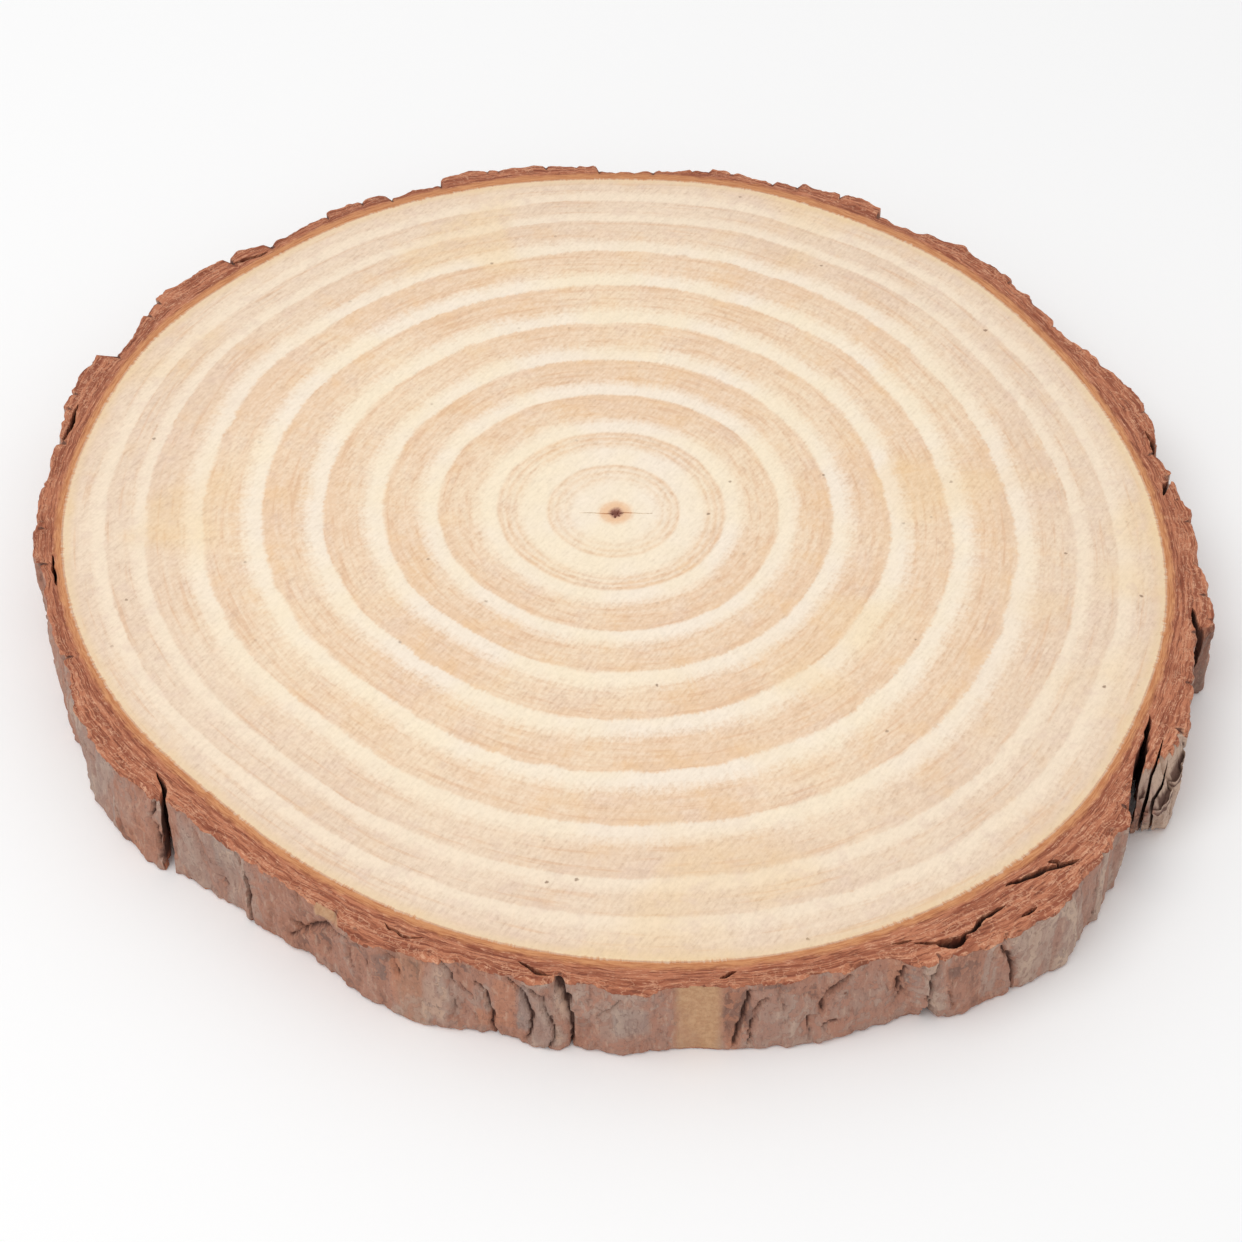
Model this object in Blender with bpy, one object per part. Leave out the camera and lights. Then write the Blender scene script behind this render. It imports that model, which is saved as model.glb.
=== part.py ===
"""A cross-cut slice of a log: a slab of pale wood inside its ring of bark.

The pith stands on the Z axis. The under face lies on z = 0 and the top face on z = THICKNESS.
Angles run anticlockwise from +X, seen from above. The front of the slice is at 270 degrees.
"""

import math
import random
from collections import namedtuple

import bmesh
import bpy

MM = 0.001

# Driving sizes
THICKNESS = 17.0 * MM
FIT_GAP = 0.3 * MM
WOOD_SIDES = 240
BARK_STEP_DEG = 1.25
FISSURE_HALF_DEG = 0.3
MEANDER_DEG = 1.0
MEANDER_SHARE = 0.2
ROUGHNESS_MM = 0.35

# Edge of the wood: distance from the pith in mm, every 15 degrees from +X
WOOD_RADII = (
    98.0, 96.6, 96.4, 98.1, 99.2, 100.7, 100.5, 101.5, 102.1, 101.7, 102.7, 101.5,
    100.6, 98.5, 96.1, 93.9, 95.2, 97.5, 99.8, 101.9, 102.8, 102.7, 100.7, 99.6,
)

# Bark plates: where each one starts in degrees, the bark's thickness in mm at the start,
# the middle and the end of the plate, how far its foot stands out in mm, and how deep
# the fissure before it is in mm. Each plate ends where the next one starts.
Plate = namedtuple("Plate", "start thick_start thick_middle thick_end foot fissure")
PLATES = tuple(Plate(*sizes) for sizes in (
    (5.0, 5.6, 5.3, 5.0, 0.4, 1.2),
    (9.0, 5.6, 7.8, 7.2, 0.6, 1.0),
    (20.0, 7.2, 6.2, 4.6, 0.5, 0.3),
    (31.5, 4.7, 5.4, 5.5, 0.4, 0.8),
    (40.0, 6.3, 6.0, 5.2, 0.5, 0.9),
    (52.5, 3.8, 3.8, 3.9, 0.8, 0.3),
    (58.5, 6.8, 6.9, 6.8, 0.4, 0.2),
    (63.6, 6.5, 6.6, 6.3, 0.4, 1.4),
    (68.5, 4.3, 4.4, 4.0, 0.7, 0.3),
    (71.7, 3.6, 4.8, 5.8, 0.5, 0.7),
    (76.5, 5.6, 5.5, 5.3, 0.4, 0.9),
    (79.2, 3.9, 3.8, 3.9, 0.8, 0.4),
    (85.5, 2.9, 2.8, 2.9, 0.9, 0.6),
    (92.0, 4.4, 4.5, 4.5, 0.6, 0.5),
    (98.0, 4.7, 5.5, 5.8, 0.5, 0.8),
    (110.3, 3.4, 3.4, 3.6, 0.9, 0.4),
    (116.5, 5.4, 5.6, 5.3, 0.4, 0.8),
    (124.0, 4.1, 4.0, 4.2, 0.6, 0.5),
    (132.0, 5.4, 6.0, 5.8, 0.3, 0.7),
    (136.7, 6.9, 7.1, 6.9, 0.3, 0.9),
    (146.5, 5.9, 5.2, 4.3, 0.5, 0.9),
    (155.7, 7.6, 8.0, 7.8, 0.2, 0.9),
    (164.5, 7.0, 6.0, 4.6, 0.3, 0.8),
    (169.5, 5.4, 5.0, 4.6, 0.5, 0.6),
    (181.0, 4.8, 4.9, 4.6, 0.3, 0.7),
    (187.0, 4.2, 3.8, 3.9, 0.8, 0.8),
    (200.0, 4.2, 5.0, 5.6, 0.7, 0.8),
    (207.0, 6.6, 7.8, 7.2, 1.3, 0.7),
    (221.7, 6.0, 5.6, 4.6, 1.0, 4.2),
    (229.5, 4.4, 4.4, 4.5, 0.9, 0.8),
    (236.8, 4.8, 4.9, 5.0, 0.7, 1.6),
    (243.5, 6.4, 6.9, 6.3, 0.6, 0.9),
    (255.5, 5.4, 5.5, 5.6, 0.7, 1.2),
    (263.7, 5.2, 5.0, 5.1, 0.5, 3.4),
    (271.0, 5.0, 4.6, 4.0, 0.6, 0.7),
    (280.4, 4.6, 5.0, 5.2, 0.5, 1.7),
    (287.5, 5.3, 5.5, 5.6, 0.8, 0.9),
    (294.2, 8.8, 9.4, 9.6, 0.4, 1.2),
    (302.0, 10.4, 10.8, 10.4, 0.4, 1.8),
    (311.0, 9.4, 8.3, 7.0, 0.6, 1.0),
    (318.3, 9.0, 9.3, 9.2, 0.2, 2.4),
    (329.0, 9.2, 8.4, 7.4, 0.3, 0.8),
    (337.5, 7.6, 8.0, 8.2, 0.3, 1.0),
    (348.5, 7.7, 6.4, 5.8, 0.4, 0.9),
))

# Slits and holes in the cut face of the bark: the width in mm at the widest, the height of
# the floor in mm, and the line it follows as points (angle in degrees, distance from the
# pith in mm). A floor below zero lets the slit through to the under face.
Slit = namedtuple("Slit", "name width floor line")
LONG_SLIT = ((316.8, 114.0), (319.5, 110.6), (323.0, 107.6), (327.0, 104.8), (331.0, 102.4))
SLITS = (
    Slit("long_slit", 1.9, -1.0, LONG_SLIT),
    Slit("right_slit", 1.2, 7.0, ((337.8, 105.0), (341.5, 105.6), (346.5, 106.6))),
    Slit("front_hole", 1.5, 9.0, ((294.6, 107.4), (298.0, 109.2), (302.0, 107.4))),
    Slit("front_crack", 1.1, 10.0, ((305.0, 106.2), (308.5, 105.6), (312.5, 105.0))),
    Slit("left_crack", 0.8, -1.0, ((221.4, 99.5), (220.4, 98.2), (218.8, 96.9))),
    Slit("foot_hole", 1.5, 8.0, ((263.4, 107.0), (263.9, 103.2), (265.2, 101.0))),
    Slit("far_left_slit", 1.0, 8.0, ((132.6, 104.2), (134.6, 105.2), (136.8, 106.2))),
    Slit("left_slit", 1.0, 6.0, ((163.6, 107.0), (166.5, 105.6), (169.4, 105.6))),
    Slit("west_slit", 0.8, 8.0, ((185.8, 101.9), (188.0, 101.5), (190.4, 100.8))),
    Slit("east_slit", 1.0, 7.0, ((2.6, 100.6), (4.0, 101.6), (5.4, 103.4))),
    Slit("far_right_slit", 0.9, 8.0, ((8.8, 101.6), (10.6, 102.2), (12.6, 102.2))),
)
SLIT_TIP = 0.3
CUTTER_OVERRUN = 1.0 * MM

# Heights of the rings of points up the outside of the bark, as shares of the thickness
BARK_ROWS = (0.0, 0.12, 0.3, 0.5, 0.7, 0.88, 1.0)

# Pith: a small star-shaped pit with one hairline check across it
PITH_RADIUS = 1.35 * MM
PITH_NOTCH = 0.55
PITH_POINTS = 7
PITH_DEPTH = 1.2 * MM
CHECK_LENGTH = 13.0 * MM
CHECK_WIDTH = 0.35 * MM
CHECK_DEPTH = 0.8 * MM

WOOD_COLOUR = (0.83, 0.68, 0.50, 1.0)
BARK_COLOUR = (0.30, 0.145, 0.085, 1.0)


def clear_scene():
    for thing in list(bpy.data.objects):
        bpy.data.objects.remove(thing, do_unlink=True)


def plain_material(name, colour, roughness):
    material = bpy.data.materials.new(name)
    material.use_nodes = True
    shader = material.node_tree.nodes["Principled BSDF"]
    shader.inputs["Base Color"].default_value = colour
    shader.inputs["Roughness"].default_value = roughness
    shader.inputs["Metallic"].default_value = 0.0
    material.diffuse_color = colour
    return material


def add_object(name, bm, material):
    bmesh.ops.recalc_face_normals(bm, faces=bm.faces)
    mesh = bpy.data.meshes.new(name)
    bm.to_mesh(mesh)
    bm.free()
    if material:
        mesh.materials.append(material)
    thing = bpy.data.objects.new(name, mesh)
    bpy.context.collection.objects.link(thing)
    return thing


def wood_radius(degrees):
    """Distance from the pith to the edge of the wood: a smooth closed curve through WOOD_RADII."""
    count = len(WOOD_RADII)
    place = (degrees % 360.0) / 360.0 * count
    index = int(place)
    t = place - index
    a, b, c, d = (WOOD_RADII[(index + k - 1) % count] for k in range(4))
    radius = b + 0.5 * t * (c - a + t * (2 * a - 5 * b + 4 * c - d + t * (3 * (b - c) + d - a)))
    return radius * MM


def polar(degrees, radius, height):
    turn = math.radians(degrees)
    return (radius * math.cos(turn), radius * math.sin(turn), height)


def ring_of_faces(bm, lower, upper):
    count = len(lower)
    for i in range(count):
        j = (i + 1) % count
        bm.faces.new((lower[i], lower[j], upper[j], upper[i]))


def outline_prism(points, bottom, top):
    """A closed upright solid over a flat outline of (x, y) points, given anticlockwise."""
    bm = bmesh.new()
    lower = [bm.verts.new((x, y, bottom)) for x, y in points]
    upper = [bm.verts.new((x, y, top)) for x, y in points]
    ring_of_faces(bm, lower, upper)
    bm.faces.new(list(reversed(lower)))
    bm.faces.new(upper)
    return bm


def cut(target, name, bm):
    """Takes the shape in bm out of the target, and keeps the cutter as a hidden guide."""
    cutter = add_object(name, bm, None)
    cutter.hide_render = True
    cutter.display_type = "WIRE"
    boolean = target.modifiers.new(name, "BOOLEAN")
    boolean.operation = "DIFFERENCE"
    boolean.solver = "EXACT"
    boolean.object = cutter


def star_outline():
    points = []
    for i in range(2 * PITH_POINTS):
        radius = PITH_RADIUS if i % 2 == 0 else PITH_NOTCH * PITH_RADIUS
        x, y, _ = polar(180.0 * i / PITH_POINTS, radius, 0.0)
        points.append((x, y))
    return points


def check_outline():
    """A narrow hexagon along X, pointed at both ends."""
    half = CHECK_LENGTH / 2
    side = CHECK_WIDTH / 2
    lower = [(-half, 0.0), (-0.3 * half, -side), (0.4 * half, -side)]
    upper = [(half, 0.0), (0.3 * half, side), (-0.4 * half, side)]
    return lower + upper


def slit_outline(slit):
    """The outline of a slit along its line of points: narrow at its ends, widest between."""
    line = [polar(degrees, radius * MM, 0.0)[:2] for degrees, radius in slit.line]
    left, right = [], []
    last = len(line) - 1
    for i, (x, y) in enumerate(line):
        before = line[max(i - 1, 0)]
        after = line[min(i + 1, last)]
        dx, dy = after[0] - before[0], after[1] - before[1]
        length = math.hypot(dx, dy)
        share = SLIT_TIP + (1 - SLIT_TIP) * math.sin(math.pi * i / last)
        half = 0.5 * slit.width * MM * share
        left.append((x - dy / length * half, y + dx / length * half))
        right.append((x + dy / length * half, y - dx / length * half))
    return right + left[::-1]


def make_wood(material):
    outline = []
    for i in range(WOOD_SIDES):
        degrees = 360.0 * i / WOOD_SIDES
        x, y, _ = polar(degrees, wood_radius(degrees) - FIT_GAP / 2, 0.0)
        outline.append((x, y))
    wood = add_object("wood", outline_prism(outline, 0.0, THICKNESS), material)
    above = THICKNESS + CUTTER_OVERRUN
    cut(wood, "pith_star", outline_prism(star_outline(), THICKNESS - PITH_DEPTH, above))
    cut(wood, "pith_check", outline_prism(check_outline(), THICKNESS - CHECK_DEPTH, above))
    wood.data.shade_smooth()
    wood.data.set_sharp_from_angle(angle=math.radians(35.0))
    return wood


Column = namedtuple("Column", "degrees thickness foot meander")


def plate_columns():
    """Every upright line of points round the bark, with its angles in degrees and sizes in mm.

    A plate ends in a fissure, which takes three lines: the plate's edge, the bottom of the
    fissure and the next plate's edge. The meander is how far the line wanders at the foot.
    """
    draw = random.Random(17)
    count = len(PLATES)
    widths = [(PLATES[(i + 1) % count].start - plate.start) % 360.0 for i, plate in enumerate(PLATES)]
    wander = []
    for i, width in enumerate(widths):
        limit = min(MEANDER_DEG, MEANDER_SHARE * min(width, widths[i - 1]))
        wander.append(draw.uniform(-limit, limit))
    columns = []
    for i, plate in enumerate(PLATES):
        before = PLATES[i - 1]
        floor = min(before.thick_end, plate.thick_start) - plate.fissure
        columns.append(Column(plate.start, floor, min(before.foot, plate.foot), wander[i]))
        steps = max(2, round(widths[i] / BARK_STEP_DEG))
        inside = widths[i] - 2 * FISSURE_HALF_DEG
        wander_end = wander[(i + 1) % count]
        for k in range(steps + 1):
            t = k / steps
            thickness = plate.thick_start * (1 - t) * (1 - 2 * t)
            thickness += 4 * plate.thick_middle * t * (1 - t)
            thickness += plate.thick_end * t * (2 * t - 1)
            if 0 < k < steps:
                thickness += draw.uniform(-ROUGHNESS_MM, ROUGHNESS_MM)
            degrees = plate.start + FISSURE_HALF_DEG + t * inside
            columns.append(Column(degrees, thickness, plate.foot, wander[i] + t * (wander_end - wander[i])))
    return columns


def wandered(column, share):
    """The angle of a line of points at a height, given as a share of the thickness."""
    return column.degrees + column.meander * (1 - share) * (0.5 + math.sin(4.0 * share + column.meander))


def make_bark(material):
    columns = plate_columns()
    draw = random.Random(5)
    bm = bmesh.new()
    rows = []
    for share in BARK_ROWS:
        row = []
        for column in columns:
            degrees = wandered(column, share)
            bumps = draw.uniform(-ROUGHNESS_MM, ROUGHNESS_MM) if 0.0 < share < 1.0 else 0.0
            proud = (column.thickness + column.foot * (1 - share) + bumps) * MM
            row.append(bm.verts.new(polar(degrees, wood_radius(degrees) + proud, share * THICKNESS)))
        rows.append(row)
    inner = []
    for share in (1.0, 0.0):
        row = []
        for column in columns:
            degrees = wandered(column, share)
            row.append(bm.verts.new(polar(degrees, wood_radius(degrees) + FIT_GAP / 2, share * THICKNESS)))
        inner.append(row)
    loops = rows + inner
    for i, loop in enumerate(loops):
        ring_of_faces(bm, loop, loops[(i + 1) % len(loops)])
    bark = add_object("bark", bm, material)
    for slit in SLITS:
        cut(bark, slit.name, outline_prism(slit_outline(slit), slit.floor * MM, THICKNESS + CUTTER_OVERRUN))
    return bark


def main():
    clear_scene()
    make_wood(plain_material("pale wood", WOOD_COLOUR, 0.7))
    make_bark(plain_material("bark", BARK_COLOUR, 0.9))


main()
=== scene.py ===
import math
import random
from collections import namedtuple

import bpy
import numpy as np
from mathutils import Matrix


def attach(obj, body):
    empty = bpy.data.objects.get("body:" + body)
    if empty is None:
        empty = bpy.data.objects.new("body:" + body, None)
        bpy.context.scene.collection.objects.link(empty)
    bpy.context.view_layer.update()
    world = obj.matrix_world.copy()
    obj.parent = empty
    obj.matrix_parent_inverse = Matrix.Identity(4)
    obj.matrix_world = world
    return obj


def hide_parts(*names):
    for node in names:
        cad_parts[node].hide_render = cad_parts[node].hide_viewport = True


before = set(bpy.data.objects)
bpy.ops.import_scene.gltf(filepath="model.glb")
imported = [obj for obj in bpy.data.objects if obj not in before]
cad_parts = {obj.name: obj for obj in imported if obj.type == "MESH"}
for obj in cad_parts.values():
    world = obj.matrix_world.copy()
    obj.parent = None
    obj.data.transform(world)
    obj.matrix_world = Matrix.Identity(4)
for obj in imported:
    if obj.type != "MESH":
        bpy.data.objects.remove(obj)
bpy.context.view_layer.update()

# Lengths are in millimetres here, and MM turns them into metres. Angles are in degrees,
# anticlockwise from +X seen from above. The pith stands on the Z axis.
MM = 0.001
THICKNESS = 17.0

# Edge of the wood: distance from the pith every 15 degrees
WOOD_RADII = np.array([
    98.0, 96.6, 96.4, 98.1, 99.2, 100.7, 100.5, 101.5, 102.1, 101.7, 102.7, 101.5,
    100.6, 98.5, 96.1, 93.9, 95.2, 97.5, 99.8, 101.9, 102.8, 102.7, 100.7, 99.6,
])
MEAN_RADIUS = float(WOOD_RADII.mean())

# Ends of the years' growth, measured outwards from the pith along a mean radius
YEAR_ENDS = (0.0, 3.0, 12.6, 21.2, 31.5, 41.5, 52.3, 63.6, 74.6, 85.0, 92.0, 99.6)

# The rings midway out lie a little to one side: how far, and towards which angle
RING_SHIFT = 2.2
RING_SHIFT_TOWARDS = 125.0

# Bark plates: start in degrees, thickness at the start, middle and end, how far the foot
# stands out, and the depth of the fissure before the plate
Plate = namedtuple("Plate", "start thick_start thick_middle thick_end foot fissure")
PLATES = tuple(Plate(*sizes) for sizes in (
    (5.0, 5.6, 5.3, 5.0, 0.4, 1.2),
    (9.0, 5.6, 7.8, 7.2, 0.6, 1.0),
    (20.0, 7.2, 6.2, 4.6, 0.5, 0.3),
    (31.5, 4.7, 5.4, 5.5, 0.4, 0.8),
    (40.0, 6.3, 6.0, 5.2, 0.5, 0.9),
    (52.5, 3.8, 3.8, 3.9, 0.8, 0.3),
    (58.5, 6.8, 6.9, 6.8, 0.4, 0.2),
    (63.6, 6.5, 6.6, 6.3, 0.4, 1.4),
    (68.5, 4.3, 4.4, 4.0, 0.7, 0.3),
    (71.7, 3.6, 4.8, 5.8, 0.5, 0.7),
    (76.5, 5.6, 5.5, 5.3, 0.4, 0.9),
    (79.2, 3.9, 3.8, 3.9, 0.8, 0.4),
    (85.5, 2.9, 2.8, 2.9, 0.9, 0.6),
    (92.0, 4.4, 4.5, 4.5, 0.6, 0.5),
    (98.0, 4.7, 5.5, 5.8, 0.5, 0.8),
    (110.3, 3.4, 3.4, 3.6, 0.9, 0.4),
    (116.5, 5.4, 5.6, 5.3, 0.4, 0.8),
    (124.0, 4.1, 4.0, 4.2, 0.6, 0.5),
    (132.0, 5.4, 6.0, 5.8, 0.3, 0.7),
    (136.7, 6.9, 7.1, 6.9, 0.3, 0.9),
    (146.5, 5.9, 5.2, 4.3, 0.5, 0.9),
    (155.7, 7.6, 8.0, 7.8, 0.2, 0.9),
    (164.5, 7.0, 6.0, 4.6, 0.3, 0.8),
    (169.5, 5.4, 5.0, 4.6, 0.5, 0.6),
    (181.0, 4.8, 4.9, 4.6, 0.3, 0.7),
    (187.0, 4.2, 3.8, 3.9, 0.8, 0.8),
    (200.0, 4.2, 5.0, 5.6, 0.7, 0.8),
    (207.0, 6.6, 7.8, 7.2, 1.3, 0.7),
    (221.7, 6.0, 5.6, 4.6, 1.0, 4.2),
    (229.5, 4.4, 4.4, 4.5, 0.9, 0.8),
    (236.8, 4.8, 4.9, 5.0, 0.7, 1.6),
    (243.5, 6.4, 6.9, 6.3, 0.6, 0.9),
    (255.5, 5.4, 5.5, 5.6, 0.7, 1.2),
    (263.7, 5.2, 5.0, 5.1, 0.1, 1.4),
    (271.0, 5.0, 4.6, 4.0, 0.6, 0.7),
    (280.4, 4.6, 5.0, 5.2, 0.5, 1.7),
    (287.5, 5.3, 5.5, 5.6, 0.8, 0.9),
    (294.2, 8.8, 9.4, 9.6, 0.4, 1.2),
    (302.0, 10.0, 10.6, 10.4, 0.4, 0.5),
    (311.0, 9.4, 8.3, 7.0, 0.6, 1.0),
    (318.3, 9.0, 9.5, 9.9, 0.0, 2.4),
    (329.0, 9.6, 6.7, 5.6, 0.0, 0.6),
    (343.4, 9.2, 8.8, 8.2, 0.0, 0.5),
    (348.5, 7.7, 6.4, 5.8, 0.4, 0.9),
))

# The most that a fissure wanders, in degrees and as a share of the plates beside it
MEANDER = 1.0
MEANDER_SHARE = 0.2

# Length of one degree of the bark's outside, and the angle at the middle of the photo's front
MM_PER_DEGREE = 1.82
FRONT_MIDDLE = 265.0

# How far a fissure's foot lies from its top, in degrees, at some of the angles
LEANS = (
    (205.0, 0.0), (221.7, 0.8), (236.8, 0.2), (256.0, 0.4), (263.7, 2.3), (272.0, 0.0),
    (281.0, -0.5), (288.0, 0.0), (294.2, 2.0), (302.0, 2.2), (311.0, 0.6), (320.0, 0.0),
)

# Slits and holes in the cut face of the bark: width at the top, height of the floor, the line
# it follows as points (angle, distance from the pith), and the width's share left at the floor.
# Two that cross stand next to each other in the list, and so are cut one after the other.
Slit = namedtuple("Slit", "name width floor line low_share", defaults=(0.35,))
LONG_SLIT = (
    (316.8, 114.0), (320.0, 110.2), (322.0, 108.3), (324.0, 106.5), (326.0, 105.2),
    (328.5, 104.1), (331.5, 102.8),
)
SLITS = tuple(Slit(*sizes) for sizes in (
    ("long_slit", 1.8, -2.0, LONG_SLIT, 1.1),
    ("flap_split", 0.5, -2.0, ((320.6, 110.0), (323.5, 108.8), (327.5, 107.2), (329.4, 106.6)), 1.2),
    ("gap", 1.3, -2.0, ((224.4, 118.0), (222.9, 107.0), (222.5, 101.6), (221.2, 99.1), (218.8, 97.8)), 2.2),
    ("outer_flap_split", 0.6, -2.0, ((320.6, 111.4), (323.5, 110.4), (328.0, 109.0)), 1.2),
    ("front_arm", 0.9, 10.0,
        ((299.2, 109.9), (300.6, 109.4), (302.0, 108.3), (303.2, 108.0), (304.6, 108.4))),
    ("front_hole", 2.3, 7.0, ((297.2, 108.9), (298.5, 109.8), (300.0, 109.9))),
    ("front_left_arm", 0.6, 12.0, ((295.6, 107.0), (296.8, 107.7), (298.2, 109.4))),
    ("right_slit", 1.4, 3.0, ((341.6, 107.6), (343.4, 106.0), (344.6, 105.0), (346.6, 104.0)), 0.8),
    ("front_crack", 1.2, 10.0, ((305.8, 105.6), (308.4, 106.8), (310.5, 107.9), (312.9, 109.5))),
    ("crack_branch", 0.7, 12.0, ((310.6, 106.2), (311.3, 107.2), (311.2, 108.6))),
    ("outer_crack", 0.8, 13.0, ((304.8, 111.7), (306.6, 111.4))),
    ("short_crack", 0.6, 13.0, ((293.9, 105.9), (295.7, 106.6))),
    ("rim_crack", 0.9, 11.0, ((288.2, 108.3), (290.0, 108.5), (291.8, 108.9))),
    ("ochre_crack", 0.7, 13.0, ((278.7, 104.6), (280.3, 103.8))),
    ("bent_crack", 0.5, 12.0,
        ((248.2, 99.6), (249.0, 100.5), (249.8, 100.3), (250.6, 100.8), (252.4, 100.2))),
    ("hole_crack", 0.7, 12.0, ((261.2, 101.2), (262.5, 102.2), (264.4, 103.2))),
    ("far_left_slit", 1.0, 8.0, ((132.6, 104.2), (134.6, 105.2), (136.8, 106.2))),
    ("left_slit", 1.0, 6.0, ((163.6, 107.0), (166.5, 105.6), (169.4, 105.6))),
    ("west_slit", 0.8, 8.0, ((185.8, 101.9), (188.0, 101.5), (190.4, 100.8))),
    ("east_slit", 1.0, 7.0, ((2.6, 100.6), (4.0, 101.6), (5.4, 103.4))),
    ("far_right_slit", 0.9, 8.0, ((8.8, 101.6), (10.6, 102.2), (12.6, 102.2))),
))

# The loose flap outside the long slit ends short of the slit's mouth: where, in degrees
FLAP_FOOT = 325.0
FLAP_TOP = 321.0

# Cracks in the bark's outside: width, depth, how far the bark stands up on the line's right,
# and the line it follows as points (angle, height)
Crack = namedtuple("Crack", "width depth lift line")
CRACKS = tuple(Crack(*sizes) for sizes in (
    (0.8, 1.2, 0.1, ((221.0, 16.6), (221.0, 13.9), (220.8, 10.9), (221.3, 8.7), (221.4, 5.7), (221.7, 2.0))),
    (0.6, 0.7, 0.3, ((215.8, 8.5), (216.3, 5.8), (216.5, 2.0))),
    (0.6, 0.8, -0.3, ((208.4, 9.9), (210.0, 11.4), (212.2, 12.6))),
    (0.7, 0.9, -0.4, ((225.0, 15.6), (226.3, 14.2), (227.3, 11.7), (227.9, 8.0))),
    (0.6, 0.6, 0.2, ((227.6, 6.5), (228.9, 6.0), (229.6, 4.8))),
    (0.9, 1.8, 0.3, ((231.6, 15.5), (233.2, 10.9), (232.9, 5.5), (233.0, -1.0))),
    (0.5, 0.5, 0.3, ((235.7, 7.5), (235.5, 4.2), (235.3, 0.5))),
    (0.7, 0.7, 0.1, ((239.3, 16.8), (239.7, 15.6), (239.9, 14.2))),
    (1.3, 1.6, 0.0, ((238.3, 7.3), (239.0, 6.3), (239.9, 7.3))),
    (0.8, 1.1, -1.3,
        ((237.9, 3.0), (239.9, 7.3), (241.2, 10.0), (242.4, 11.6), (244.0, 13.4), (245.4, 14.8))),
    (0.7, 0.9, -0.4, ((246.3, 14.6), (246.9, 14.9), (247.4, 13.0), (247.7, 9.5))),
    (0.6, 0.7, 0.2, ((245.4, 12.8), (245.7, 10.5), (246.0, 7.4))),
    (0.6, 0.8, 0.4, ((249.5, 15.5), (250.2, 14.2), (250.6, 10.5))),
    (0.7, 0.9, 0.4, ((254.3, 17.0), (255.1, 15.0), (255.6, 11.6))),
    (0.7, 0.8, 0.2, ((255.5, 7.6), (255.7, 5.4), (255.4, 3.0))),
    (0.6, 0.8, -0.3, ((256.0, 11.4), (256.7, 9.6), (257.4, 8.4))),
    (0.5, 0.6, -0.3, ((256.5, 6.6), (257.2, 4.8), (258.0, 2.8))),
    (0.9, 1.3, 0.2, ((257.6, 12.6), (258.6, 11.5), (258.7, 9.1), (259.2, 5.6), (258.9, 2.6), (259.5, -0.5))),
    (0.8, 1.1, 0.6, ((260.7, 16.0), (262.0, 12.7), (262.6, 8.1), (262.5, 3.6), (262.0, 0.8))),
    (0.8, 1.1, 0.4, ((261.9, 15.0), (263.6, 12.6), (263.9, 8.8), (264.5, 5.9), (264.6, 2.8), (264.0, 0.0))),
    (0.9, 1.6, -0.9, ((265.0, 15.6), (265.8, 9.6), (266.2, 6.7), (266.2, 4.0), (266.1, -3.0))),
    (0.7, 0.8, 0.3, ((270.2, 14.0), (269.4, 11.9), (268.2, 9.2))),
    (0.5, 0.5, 0.0, ((268.9, 10.8), (268.0, 11.6), (267.4, 12.6))),
    (1.0, 1.4, 0.4, ((281.2, 15.6), (280.8, 11.1), (280.4, 6.4), (280.0, 1.6))),
    (0.8, 0.9, 0.3, ((282.6, 13.4), (281.9, 12.1), (281.8, 9.1), (281.4, 6.4), (281.3, 1.8))),
    (0.6, 0.7, 0.0, ((283.5, 16.4), (283.8, 12.4), (284.0, 9.0))),
    (2.2, 1.3, 0.0, ((289.6, 14.6), (288.6, 12.6), (287.9, 12.0))),
    (0.8, 0.9, 0.2, ((287.9, 12.0), (287.3, 9.8), (287.2, 7.4))),
    (0.6, 0.6, 0.2, ((286.9, 7.0), (286.2, 6.2), (286.4, 1.4))),
    (0.7, 0.8, -0.2, ((288.8, 5.0), (288.2, 4.7), (287.4, 3.9))),
    (0.8, 1.1, 0.3, ((294.3, 15.4), (294.1, 12.0), (293.8, 8.3))),
    (0.9, 1.0, 0.0, ((295.1, 17.5), (295.3, 15.0), (295.6, 12.8))),
    (0.7, 1.2, 0.0, ((296.9, 17.5), (296.8, 15.0), (296.6, 13.2), (295.4, 13.8))),
    (0.9, 1.5, 0.2, ((296.3, 13.4), (296.2, 10.0), (296.4, 5.5), (296.8, -1.0))),
    (2.0, 3.4, 0.0, ((296.5, 3.6), (296.8, 0.5), (296.9, -6.0))),
    (0.7, 0.9, 0.3, ((298.1, 11.2), (298.0, 8.1), (298.5, 2.6))),
    (0.5, 0.5, 0.0, ((294.2, 9.0), (294.2, 5.0))),
    (0.6, 0.8, -0.1, ((302.9, 16.8), (302.0, 14.4), (301.8, 10.9))),
    (0.9, 1.5, 0.3, ((302.4, 14.2), (303.2, 10.9), (304.1, 6.9), (304.2, 2.0), (304.4, -1.0))),
    (0.6, 0.7, 0.2, ((311.6, 15.0), (310.8, 10.2), (311.1, 5.2))),
    (0.7, 1.0, 0.3, ((314.8, 17.0), (314.2, 12.0), (314.6, 6.5), (314.2, 0.5))),
    (0.9, 1.6, 0.2, ((320.2, 17.0), (320.0, 11.5), (320.4, 4.0), (320.2, -1.0))),
    (1.0, 1.8, 0.2, ((322.5, 17.0), (321.8, 14.9), (321.7, 9.0), (321.9, 1.0))),
    (1.0, 1.6, 0.3, ((325.5, 17.0), (325.0, 12.4), (324.0, 7.7), (324.3, -1.0))),
    (1.0, 1.5, 0.3, ((328.1, 17.0), (326.9, 13.9), (327.8, 8.0), (327.4, 2.0))),
))

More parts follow.
